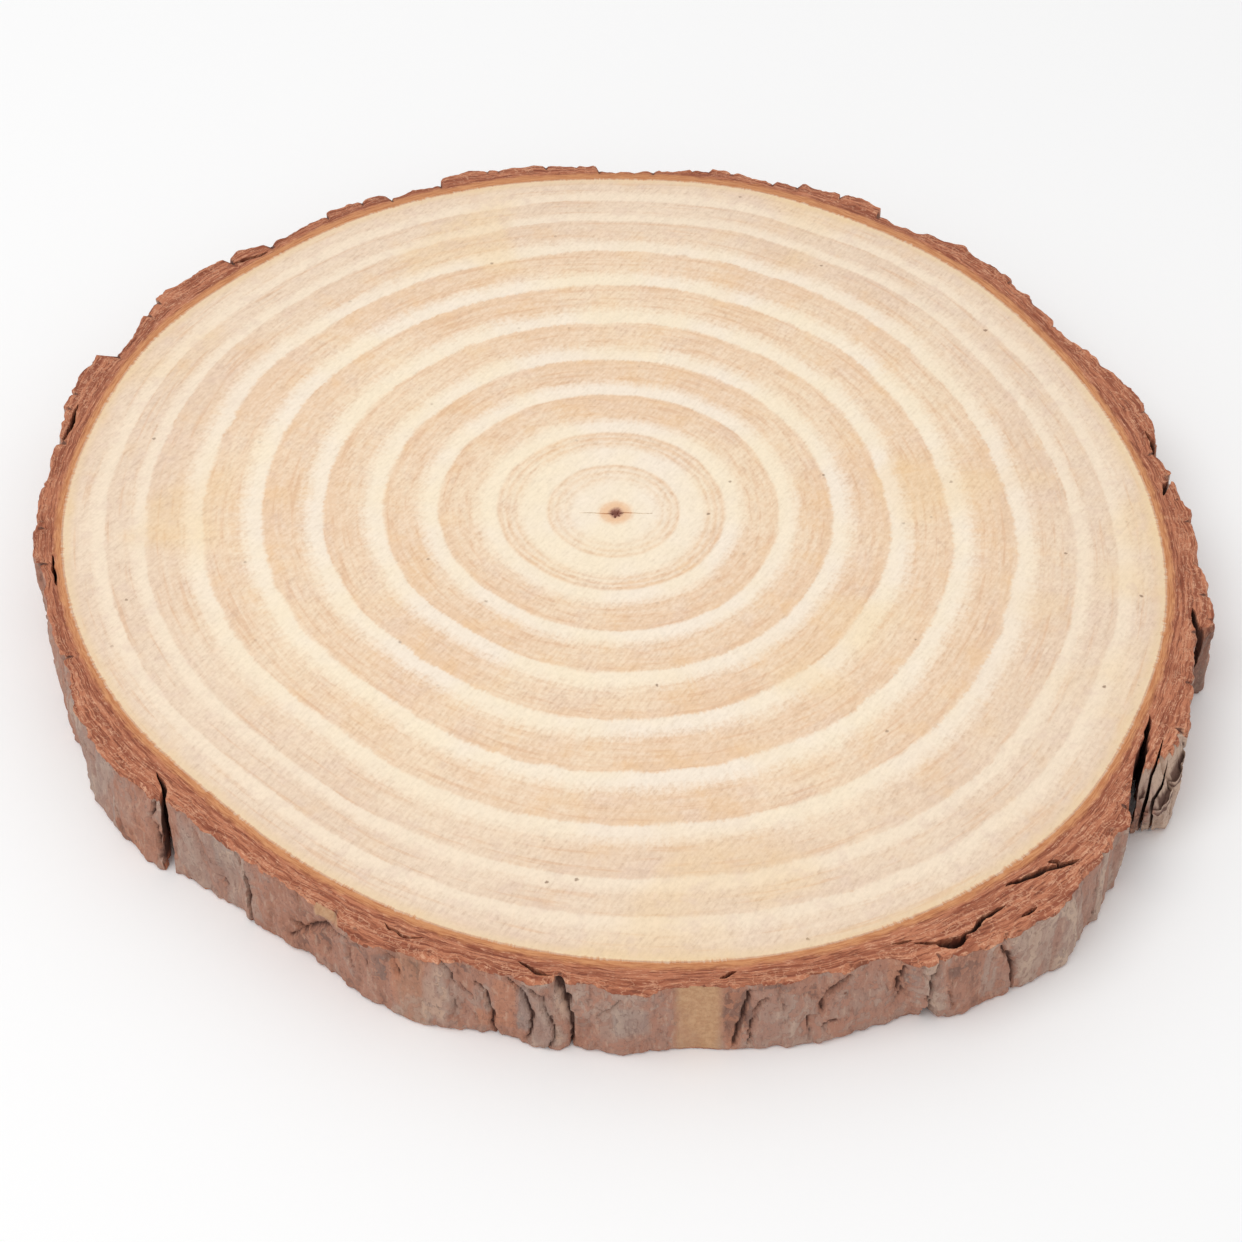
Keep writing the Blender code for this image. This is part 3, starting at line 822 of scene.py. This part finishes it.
def make_slit_cutter(slit, seed):
    """A rough blade as wide as the slit: a sphere's spokes run round it and its rings down it."""
    spokes, rings = 44, 9
    deselect_all()
    bpy.ops.mesh.primitive_uv_sphere_add(segments=spokes, ring_count=rings, radius=1.0)
    blade = bpy.context.object
    x, y, z = get_points(blade).T
    spoke = nearest_part(angles_of(x, y), spokes)
    ring = np.arccos(np.clip(z, -1.0, 1.0)) / math.pi
    line_x, line_y, dir_x, dir_y = slit_line(slit, spokes // 2 + 1)
    step = np.where(spoke <= spokes // 2, spoke, spokes - spoke)
    hand = np.where(spoke <= spokes // 2, 1.0, -1.0)
    length = np.hypot(dir_x, dir_y)[step]
    share = step / (spokes // 2)
    top = THICKNESS + 2.0
    height = top + (slit.floor - top) * smooth_step(ring, 0.06, 0.94)
    taper = np.clip(1.0 + (slit.low_share - 1.0) * (THICKNESS - height) / (THICKNESS - slit.floor), 0.2, 3.0)
    half = 0.5 * slit.width * taper * (0.12 + 0.88 * np.sin(math.pi * share) ** 0.7)
    rough = rough_noise(line_x[step] / 1.2, line_y[step] / 1.2, height / 3.0 + 40.0 * hand, seed)
    half = np.maximum(half * (1.0 + 0.5 * rough), 0.05)
    sway = 0.35 * rough_noise(line_x[step] / 3.0, line_y[step] / 3.0, height / 5.0, seed + 7)
    tip = np.where((ring < 0.01) | (ring > 0.99), 0.0, 1.0)
    middle = spokes // 4
    base_x = np.where(tip > 0, line_x[step], line_x[middle])
    base_y = np.where(tip > 0, line_y[step], line_y[middle])
    offset = tip * (hand * half * np.where((step == 0) | (step == spokes // 2), 0.0, 1.0) + sway)
    out_x = base_x + offset * dir_y[step] / length
    out_y = base_y - offset * dir_x[step] / length
    set_points(blade, out_x, out_y, height)
    return blade


def cut_slits(bark):
    """Cuts the slits in two goes, so that blades which cross each other aren't in the same one."""
    for go in (0, 1):
        blades = [make_slit_cutter(slit, 100 + 10 * i) for i, slit in enumerate(SLITS) if i % 2 == go]
        deselect_all()
        for blade in blades:
            blade.select_set(True)
        bpy.context.view_layer.objects.active = blades[0]
        bpy.ops.object.join()
        cut = bark.modifiers.new("slits", "BOOLEAN")
        cut.operation = "DIFFERENCE"
        cut.solver = "MANIFOLD"
        cut.object = blades[0]
        deselect_all()
        bpy.context.view_layer.objects.active = bark
        bark.select_set(True)
        bpy.ops.object.modifier_apply(modifier=cut.name)
        bpy.data.objects.remove(blades[0], do_unlink=True)


def mark_bark(bark):
    """Stores what the bark's material reads, worked out from where each point lies."""
    x, y, z = get_points(bark).T / MM
    degrees = angles_of(x, y)
    radius = np.hypot(x, y)
    thickness = on_map("thickness", degrees, z)
    depth = radius - wood_radius(degrees)
    under_skin = thickness - depth
    broken = on_map("broken", degrees, z)
    skin = 1.0 - smooth_step(under_skin, 0.10, 0.35)
    skin = skin * (1.0 - smooth_step(THICKNESS - z, broken * 1.15, broken * 0.75))
    skin = skin * smooth_step(z, 0.05, 0.3)
    inside = smooth_step(under_skin, 0.4, 0.9)
    # Painted shade: the walls of the slits darken away from the top and the foot, pits darken by how far
    # they lie below the bark round them, and the hollows' painted shade is added on the outer surface
    slit_wall_shade = inside * smooth_step(np.minimum(THICKNESS - z, z), 0.45, 1.6)
    hollow = smooth_step(on_map("hollow", degrees, z), 0.12, 0.85)
    cavity = np.maximum(hollow * (1.0 - inside), slit_wall_shade)
    cavity = np.maximum(cavity, 0.62 * on_map("shade", degrees, z) * (1.0 - inside))

    drop = rim_break(degrees, depth, on_map("thickness", degrees, rim_height(degrees)))
    below = THICKNESS - drop - z
    torn = smooth_step(drop, 0.3, 0.9) * smooth_step(below, 2.6, 2.2)
    flap_end = (degrees > 320.0) & (degrees < 326.0) & (depth > long_slit_depth(degrees) + 0.2) & (z < 15.5)
    skin = np.maximum(skin, np.maximum(torn, flap_end))
    # Painted shade: the broken layers darken the further they lie below the cut face
    cavity = cavity * (1.0 - torn) + torn * smooth_step(below, 0.4, 1.5)
    lane = layer_lane(depth, thickness)
    for name, values in (("depth", depth), ("skin", skin), ("cavity", cavity)):
        add_values(bark, name, values)
    add_values(bark, "tone", np.clip(on_map("tone", degrees, z), 0.0, 1.0))
    for name in ("warmth", "bare"):
        add_values(bark, name, on_map(name, degrees, z))
    add_values(bark, "lane", np.stack([*on_circle(100.0, degrees), lane], axis=1))
    deselect_all()
    bark.select_set(True)
    bpy.context.view_layer.objects.active = bark
    bpy.ops.object.shade_smooth_by_angle(angle=math.radians(38.0))


# Finishes

class Wire:
    """A node's output that sums can be written with: an expression on wires adds Math nodes."""

    def __init__(self, finish, socket):
        self.finish = finish
        self.socket = socket

    def maths(self, operation, first, second):
        return self.finish.node("ShaderNodeMath", {"operation": operation}, {0: first, 1: second})

    def __add__(self, other):
        return self.maths("ADD", self, other)

    def __radd__(self, other):
        return self.maths("ADD", other, self)

    def __sub__(self, other):
        return self.maths("SUBTRACT", self, other)

    def __rsub__(self, other):
        return self.maths("SUBTRACT", other, self)

    def __mul__(self, other):
        return self.maths("MULTIPLY", self, other)

    def __rmul__(self, other):
        return self.maths("MULTIPLY", other, self)

    def __truediv__(self, other):
        return self.maths("DIVIDE", self, other)


class Finish:
    """A material under construction round its Principled shader."""

    def __init__(self, name):
        self.material = bpy.data.materials.new(name)
        self.material.use_nodes = True
        self.tree = self.material.node_tree
        self.shader = self.tree.nodes["Principled BSDF"]

    def plug(self, socket, value):
        if isinstance(value, Wire):
            self.tree.links.new(value.socket, socket)
        else:
            socket.default_value = value

    def node(self, kind, settings=None, sockets=None, out=0):
        """Adds a node: its settings first, then the values or wires of its sockets."""
        made = self.tree.nodes.new(kind)
        for key, value in (settings or {}).items():
            if key == "stops":
                stops = made.color_ramp.elements
                while len(stops) < len(value):
                    stops.new(0.5)
                for stop, (position, colour) in zip(stops, value):
                    stop.position = position
                    stop.color = colour
            else:
                setattr(made, key, value)
        for key, value in (sockets or {}).items():
            self.plug(made.inputs[key], value)
        return Wire(self, made.outputs[out])

    def place(self):
        return self.node("ShaderNodeTexCoord", {}, {}, "Object")

    def value(self, name):
        return self.node("ShaderNodeAttribute", {"attribute_name": name}, {}, "Fac")

    def lane(self):
        return self.node("ShaderNodeAttribute", {"attribute_name": "lane"}, {}, "Vector")

    def stretched(self, vector, scale):
        return self.node("ShaderNodeMapping", {"vector_type": "POINT"}, {"Vector": vector, "Scale": scale})

    def turned(self, vector, sizes, degrees):
        """Coordinates for marks of these sizes in metres, turned anticlockwise by an angle."""
        sockets = {"Vector": vector, "Scale": sizes, "Rotation": (0.0, 0.0, math.radians(degrees))}
        return self.node("ShaderNodeMapping", {"vector_type": "TEXTURE"}, sockets)

    def noise(self, vector, scale, detail=2.0, roughness=0.5):
        sockets = {"Vector": vector, "Scale": scale, "Detail": detail, "Roughness": roughness}
        return self.node("ShaderNodeTexNoise", {}, sockets, "Fac")

    def levels(self, value, levels):
        stops = [(place, grey(level)) for place, level in levels]
        return self.node("ShaderNodeValToRGB", {"stops": stops}, {0: value})

    def step(self, value, low, high, start=0.0, end=1.0):
        sockets = {"Value": value, "From Min": low, "From Max": high, "To Min": start, "To Max": end}
        return self.node("ShaderNodeMapRange", {"interpolation_type": "SMOOTHSTEP"}, sockets)

    def blend(self, factor, first, second):
        return self.node("ShaderNodeMix", {"data_type": "RGBA"}, {0: factor, 6: first, 7: second}, 2)

    def stained(self, colour, *stains):
        """Lays colours over another in turn, each where a noise rises from one value to the next."""
        for noise, low, high, strength, stain in stains:
            colour = self.blend(self.step(noise, low, high) * strength, colour, stain)
        return colour

    def teeth(self, lane):
        """Noise for the ragged line between wood and bark, and how long its teeth are, in millimetres."""
        ragged = self.noise(self.stretched(lane, (1.1, 1.1, 0.0)), 1.0, 3.0, 0.75)
        length = self.step(self.noise(self.stretched(lane, (0.16, 0.16, 0.0)), 1.0), 0.4, 0.6, 0.4, 1.7)
        return ragged, length

    def finish(self, colour, roughness, bump_height, bump_strength, bump_distance):
        bump = self.node("ShaderNodeBump", {}, {
            "Height": bump_height, "Strength": bump_strength, "Distance": bump_distance,
        }, "Normal")
        for name, value in (("Base Color", colour), ("Roughness", roughness), ("Normal", bump)):
            self.plug(self.shader.inputs[name], value)
        return self.material


def paint(red, green, blue):
    """A colour given as it shows on screen, from 0 to 255, in the values that Blender computes with."""
    parts = []
    for part in (red, green, blue):
        share = part / 255.0
        parts.append(share / 12.92 if share <= 0.04045 else ((share + 0.055) / 1.055) ** 2.4)
    return (*parts, 1.0)


def grey(level):
    return (level, level, level, 1.0)


CREAM_WARM = paint(249, 232, 204)
CREAM_PALE = paint(248, 233, 214)
CREAM_OUTER = paint(245, 225, 200)
TAN_INNER = paint(236, 202, 168)
TAN_OUTER = paint(231, 204, 178)
ORANGE_BLOTCH = paint(238, 196, 148)
DULL_BLOTCH = paint(228, 198, 176)
BROWN_THREAD = paint(224, 182, 146)
YELLOW_PATCH = paint(242, 208, 152)
PINK_MOTTLE = paint(224, 196, 178)
SAW_MARK = paint(192, 156, 128)
DARK_SPECK = paint(132, 98, 72)
HEART_ORANGE = paint(240, 192, 148)
PITH_BROWN = paint(160, 108, 92)
YELLOW_EDGE = paint(246, 218, 166)
CUT_DARK = paint(148, 80, 55)
CUT_LIGHT = paint(194, 123, 90)
CUT_PALE = paint(228, 172, 138)
CUT_DEEP = paint(116, 60, 40)
OCHRE_DARK = paint(192, 122, 78)
OCHRE_LIGHT = paint(216, 152, 104)
SIDE_DARK = paint(108, 76, 64)
SIDE_LIGHT = paint(206, 176, 154)
BARE_DARK = paint(185, 140, 102)
BARE_LIGHT = paint(206, 164, 124)
HOLLOW_SHADE = paint(88, 56, 46)
SIDE_WARM = paint(190, 126, 94)
SIDE_COOL = paint(156, 140, 132)
SHEET_STOPS = [
    (0.02, paint(134, 98, 84)), (0.20, paint(168, 118, 96)), (0.40, paint(174, 126, 106)),
    (0.58, paint(168, 132, 116)), (0.76, paint(176, 148, 133)), (0.95, paint(194, 166, 146)),
]


# How tan the wood is over one year's growth: in a common year, and in the thin-banded years by the pith
LATE_LEVELS = (
    (0.0, 0.35), (0.03, 0.06), (0.17, 0.03), (0.32, 0.45), (0.44, 0.80),
    (0.74, 0.84), (0.90, 1.0), (0.96, 0.92), (1.0, 0.40),
)
THIN_LEVELS = (
    (0.0, 0.1), (0.04, 0.0), (0.40, 0.05), (0.55, 0.45), (0.62, 0.75),
    (0.68, 0.45), (0.78, 0.95), (0.84, 0.5), (0.93, 1.0), (1.0, 0.15),
)


def wood_finish():
    f = Finish("sawn_wood")
    place = f.place()
    growth = f.value("growth")
    lane = f.lane()

    # Strokes of the saw, all one way, and the wood's own fine specks and radial streaks
    strokes = f.noise(f.turned(place, (0.0024, 0.00048, 0.01), 57.0), 1.0, 2.0, 0.6)
    specks = f.noise(place, 1 / 0.0008, 2.0, 0.65)
    grain = f.step(strokes, 0.40, 0.62) * 0.5 + f.step(specks, 0.40, 0.62) * 0.5
    rays = f.noise(f.stretched(lane, (0.8, 0.8, 0.02)), 1.0, 2.0, 0.6)
    patches = f.noise(place, 1 / 0.022, 3.0, 0.55)

    # The rings wander a little more the further out they lie, and their edges are slightly ragged
    sway = (f.noise(place, 1 / 0.030) - 0.5) * 0.24 + (f.noise(place, 1 / 0.005) - 0.5) * 0.12
    sway = sway + (specks - 0.5) * 0.12 + (rays - 0.5) * 0.12
    years = f.value("years") + sway * f.step(growth, 6.0, 60.0, 0.2, 1.0)
    part = f.node("ShaderNodeMath", {"operation": "FRACT"}, {0: years})
    late = f.levels(part, LATE_LEVELS)
    thin = f.levels(part, THIN_LEVELS)
    young = 1.0 - f.step(growth, 20.5, 23.0)
    tan = late * (1.0 - young) + thin * young * f.step(growth, 9.0, 16.0, 0.65, 1.0)
    threads = f.noise(f.stretched(lane, (0.05, 0.05, 1.1)), 1.0, 3.0, 0.6)
    tan = tan * f.step(patches, 0.3, 0.7, 0.72, 1.08) + (threads - 0.5) * 0.8 * (tan + 0.25)
    tan = tan + (grain - 0.5) * 0.24 * (tan + 0.3) + (rays - 0.5) * 0.20
    tan = tan * f.step(growth, 80.0, 96.0, 1.0, 0.85) + f.step(growth, 96.0, 99.6) * 0.45

    edge_zone = f.step(growth, 66.0, 92.0)
    cream = f.blend(f.step(patches, 0.35, 0.68), CREAM_WARM, CREAM_PALE)
    cream = f.blend(edge_zone, cream, CREAM_OUTER)
    band = f.blend(edge_zone, TAN_INNER, TAN_OUTER)
    blotches = f.noise(place, 1 / 0.008, 3.0, 0.6)
    band = f.blend(f.step(blotches, 0.52, 0.66) * (1.0 - edge_zone * 0.5) * 0.45, band, ORANGE_BLOTCH)
    band = f.stained(
        band, (blotches, 0.46, 0.34, 0.35, DULL_BLOTCH), (threads, 0.55, 0.66, 0.5, BROWN_THREAD),
    )
    colour = f.blend(f.step(tan, -0.05, 1.1), cream, band)
    yellow = f.step(f.noise(place, 1 / 0.030, 2.0, 0.5), 0.58, 0.72) * f.step(growth, 35.0, 55.0)
    colour = f.blend(yellow * 0.28, colour, YELLOW_PATCH)
    mottle = f.step(f.noise(place, 1 / 0.0035, 3.0, 0.6), 0.50, 0.68) * edge_zone
    colour = f.blend(mottle * 0.30, colour, PINK_MOTTLE)
    marks = f.step(strokes, 0.58, 0.70) * f.step(specks, 0.40, 0.6)
    colour = f.blend(marks * f.step(tan, 0.1, 0.9, 0.10, 0.22), colour, SAW_MARK)
    rough = f.step(tan, 0.1, 0.9, 0.07, 0.085) * f.step(blotches, 0.35, 0.65, 1.3, 0.8)
    shade = 1.01 - (grain - 0.5) * rough + (rays - 0.5) * 0.06
    colour = f.node("ShaderNodeVectorMath", {"operation": "SCALE"}, {0: colour, "Scale": shade}, "Vector")

    # A few small dark specks
    cells = {"feature": "F1", "voronoi_dimensions": "2D"}
    spots = f.node("ShaderNodeTexVoronoi", cells, {"Vector": place, "Scale": 1 / 0.0105}, "Distance")
    chosen = f.node("ShaderNodeTexVoronoi", cells, {"Vector": place, "Scale": 1 / 0.0105}, "Color")
    spot = (1.0 - f.step(spots + (specks - 0.5) * 0.10, 0.012, 0.040)) * f.step(chosen, 0.66, 0.90)
    colour = f.blend(spot * 0.75, colour, DARK_SPECK)

    # The pith and the orange-brown first growth round it
    heart = 1.0 - f.step(growth + (f.noise(place, 1 / 0.002) - 0.5) * 1.6, 1.7, 4.0)
    colour = f.blend(heart * 0.8, colour, HEART_ORANGE)
    core = 1.0 - f.step(growth + (f.noise(place, 1 / 0.001) - 0.5) * 0.8, 0.7, 1.7)
    colour = f.blend(core, colour, PITH_BROWN)

    # Short ochre teeth of the inner bark reach into the wood's edge
    teeth, tooth_length = f.teeth(lane)
    reach = MEAN_RADIUS - growth - (teeth - 0.46) * tooth_length
    colour = f.blend(f.step(reach + (patches - 0.5) * 2.0, 2.4, 0.2) * 0.35, colour, YELLOW_EDGE)
    colour = f.blend(f.step(reach, 0.25, -0.15) * 0.7, colour, OCHRE_LIGHT)
    return f.finish(colour, 0.72, grain, 0.16, 0.0004)


def bark_finish():
    f = Finish("layered_bark")
    place = f.place()
    depth, cavity, tone = f.value("depth"), f.value("cavity"), f.value("tone")
    warmth, bare, lane = f.value("warmth"), f.value("bare"), f.lane()

    # Cut face: fine wavy layers along the outline, with pale threads and dark lines, and ochre by the wood
    wave = (f.noise(place, 1 / 0.0040, 3.0) - 0.5) * 0.9
    shift = f.node("ShaderNodeCombineXYZ", {}, {"Z": wave}, "Vector")
    wavy_lane = f.node("ShaderNodeVectorMath", {"operation": "ADD"}, {0: lane, 1: shift}, "Vector")
    layers = f.noise(f.stretched(wavy_lane, (0.10, 0.10, 1.9)), 1.0, 3.0, 0.62)
    threads = f.noise(f.stretched(wavy_lane, (0.30, 0.30, 4.4)), 1.0, 3.0, 0.62)
    fibres = f.noise(f.stretched(wavy_lane, (1.1, 1.1, 5.5)), 1.0, 3.0, 0.65)
    grains = f.noise(place, 1 / 0.0009, 3.0, 0.65)
    skin = f.step(f.value("skin") + (grains - 0.5) * 0.7, 0.38, 0.62)
    red = f.blend(f.step(layers, 0.38, 0.60), CUT_DARK, CUT_LIGHT)
    pale = f.step(threads, 0.56, 0.61) * (1.0 - f.step(threads, 0.63, 0.69))
    red = f.blend(pale * f.step(grains, 0.35, 0.6) * 0.8, red, CUT_PALE)
    red = f.stained(
        red, (threads, 0.45, 0.38, 0.75, CUT_DEEP), (fibres, 0.56, 0.72, 0.40, CUT_DEEP),
        (grains, 0.58, 0.75, 0.30, CUT_PALE),
    )
    curls = f.noise(place, 1 / 0.0026, 3.0, 0.6)
    hairs = f.step(curls, 0.47, 0.50) * (1.0 - f.step(curls, 0.50, 0.53))
    red = f.blend(hairs * f.step(depth, 2.0, 4.5) * 0.45, red, CUT_PALE)
    back = f.node("ShaderNodeSeparateXYZ", {}, {0: lane}, "Y") * 0.008
    inner_edge = depth + (f.noise(lane, 0.45, 2.0) - 0.5) * 1.5 + (fibres - 0.5) * 0.9
    ochre = f.blend(f.step(threads, 0.35, 0.62), OCHRE_DARK, OCHRE_LIGHT)
    cut = f.blend(f.step(inner_edge - f.step(back, 0.1, 0.8) * 0.8, 0.8, 2.0), ochre, red)
    teeth, tooth_length = f.teeth(lane)
    bitten = f.step(depth + (teeth - 0.50) * tooth_length, 0.40, -0.05)
    cut = f.blend(bitten * (1.0 - skin) * 0.7, cut, TAN_OUTER)

    # Outside: sheets from fresh orange-brown to old grey, with fine upright fibres
    streaks = f.noise(f.stretched(place, (1100.0, 1100.0, 260.0)), 1.0, 3.0, 0.65)
    clouds = f.noise(f.stretched(place, (170.0, 170.0, 110.0)), 1.0, 4.0, 0.62) * 13.0
    terrace = f.node("ShaderNodeMath", {"operation": "FLOOR"}, {0: clouds})
    within = f.node("ShaderNodeMath", {"operation": "FRACT"}, {0: clouds})
    flake = f.node("ShaderNodeMath", {"operation": "FRACT"}, {0: terrace * 0.618})
    sheet = tone + (flake - 0.5) * 0.34 + (grains - 0.5) * 0.30
    side = f.node("ShaderNodeValToRGB", {"stops": SHEET_STOPS}, {0: sheet})
    tint = warmth + (flake - 0.5) * 0.5
    side = f.stained(side, (tint, 0.1, 1.0, 0.68, SIDE_WARM), (tint, -0.1, -1.0, 0.68, SIDE_COOL))
    # Painted shadow: a dark line along the edge of each painted flake, where its lifted rim would throw
    # shade
    rim = f.step(within, 0.16, 0.02)
    side = f.blend(rim * f.step(grains, 0.40, 0.55) * 0.45, side, SIDE_DARK)
    side = f.stained(
        side, (streaks, 0.54, 0.72, 0.40, SIDE_DARK), (streaks, 0.46, 0.30, 0.35, SIDE_LIGHT),
        (grains, 0.56, 0.72, 0.40, SIDE_DARK), (grains, 0.42, 0.28, 0.25, SIDE_LIGHT),
    )
    side = f.blend(bare, side, f.blend(f.step(grains, 0.3, 0.7), BARE_DARK, BARE_LIGHT))
    colour = f.blend(skin, cut, side)
    # Painted shade: a dark brown laid over the hollows, the slit walls and the broken layers
    colour = f.blend(f.step(cavity + (grains - 0.5) * 0.25, 0.15, 0.85) * 0.85, colour, HOLLOW_SHADE)

    flakes = terrace * 0.12 + f.step(within, 0.0, 0.2) * 0.12
    relief = (layers * 0.5 + threads * 0.6) * (1.0 - skin) + (streaks * 0.5 + grains * 0.5 + flakes) * skin
    return f.finish(colour, 0.9, relief, 0.6, 0.0006)


# The room: a pale floor, a pale sky, one wide lamp and the camera

FLOOR_WIDTH = 6.0
FLOOR_BELOW = 0.0002
SKY_STRENGTH = 0.74
LAMP_WIDTH = 0.9
LAMP_WATTS = 4.6
LAMP_PLACE = (-0.45, -0.25, 1.1)
LAMP_TILT = (13.0, -22.0)


def make_floor():
    deselect_all()
    bpy.ops.mesh.primitive_plane_add(size=FLOOR_WIDTH, location=(0.0, 0.0, -FLOOR_BELOW))
    floor = bpy.context.object
    floor.name = "floor"
    f = Finish("pale_floor")
    f.plug(f.shader.inputs["Base Color"], paint(253, 253, 253))
    f.plug(f.shader.inputs["Roughness"], 0.9)
    floor.data.materials.append(f.material)


def make_light():
    world = bpy.data.worlds.new("pale_sky")
    world.use_nodes = True
    sky = world.node_tree.nodes["Background"]
    sky.inputs["Color"].default_value = (1.0, 1.0, 1.0, 1.0)
    sky.inputs["Strength"].default_value = SKY_STRENGTH
    bpy.context.scene.world = world
    lamp = bpy.data.lights.new("wide_lamp", "AREA")
    lamp.shape = "DISK"
    lamp.size = LAMP_WIDTH
    lamp.energy = LAMP_WATTS
    lamp_object = bpy.data.objects.new("wide_lamp", lamp)
    lamp_object.location = LAMP_PLACE
    lamp_object.rotation_euler = (*map(math.radians, LAMP_TILT), 0.0)
    bpy.context.collection.objects.link(lamp_object)


CAMERA_PLACE = (0.0, -335.2, THICKNESS + 323.7)
CAMERA_DOWN = 46.42
CAMERA_TURN = 0.145
CAMERA_LENS = 74.03


def make_camera():
    camera = bpy.data.cameras.new("camera")
    camera.lens = CAMERA_LENS
    camera.sensor_width = 36.0
    camera.clip_start = 0.01
    camera_object = bpy.data.objects.new("camera", camera)
    camera_object.location = tuple(part * MM for part in CAMERA_PLACE)
    camera_object.rotation_euler = (math.radians(90.0 - CAMERA_DOWN), 0.0, math.radians(-CAMERA_TURN))
    bpy.context.collection.objects.link(camera_object)
    bpy.context.scene.camera = camera_object
    bpy.context.scene.view_settings.view_transform = "Standard"


def finish_piece(piece, node, material):
    piece.data.materials.clear()
    piece.data.materials.append(material)
    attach(piece, "root")
    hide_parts(node)


make_camera()
make_light()
make_floor()
wood_piece = make_wood()
finish_piece(wood_piece, "wood", wood_finish())
bark_piece = make_bark()
cut_slits(bark_piece)
mark_bark(bark_piece)
finish_piece(bark_piece, "bark", bark_finish())
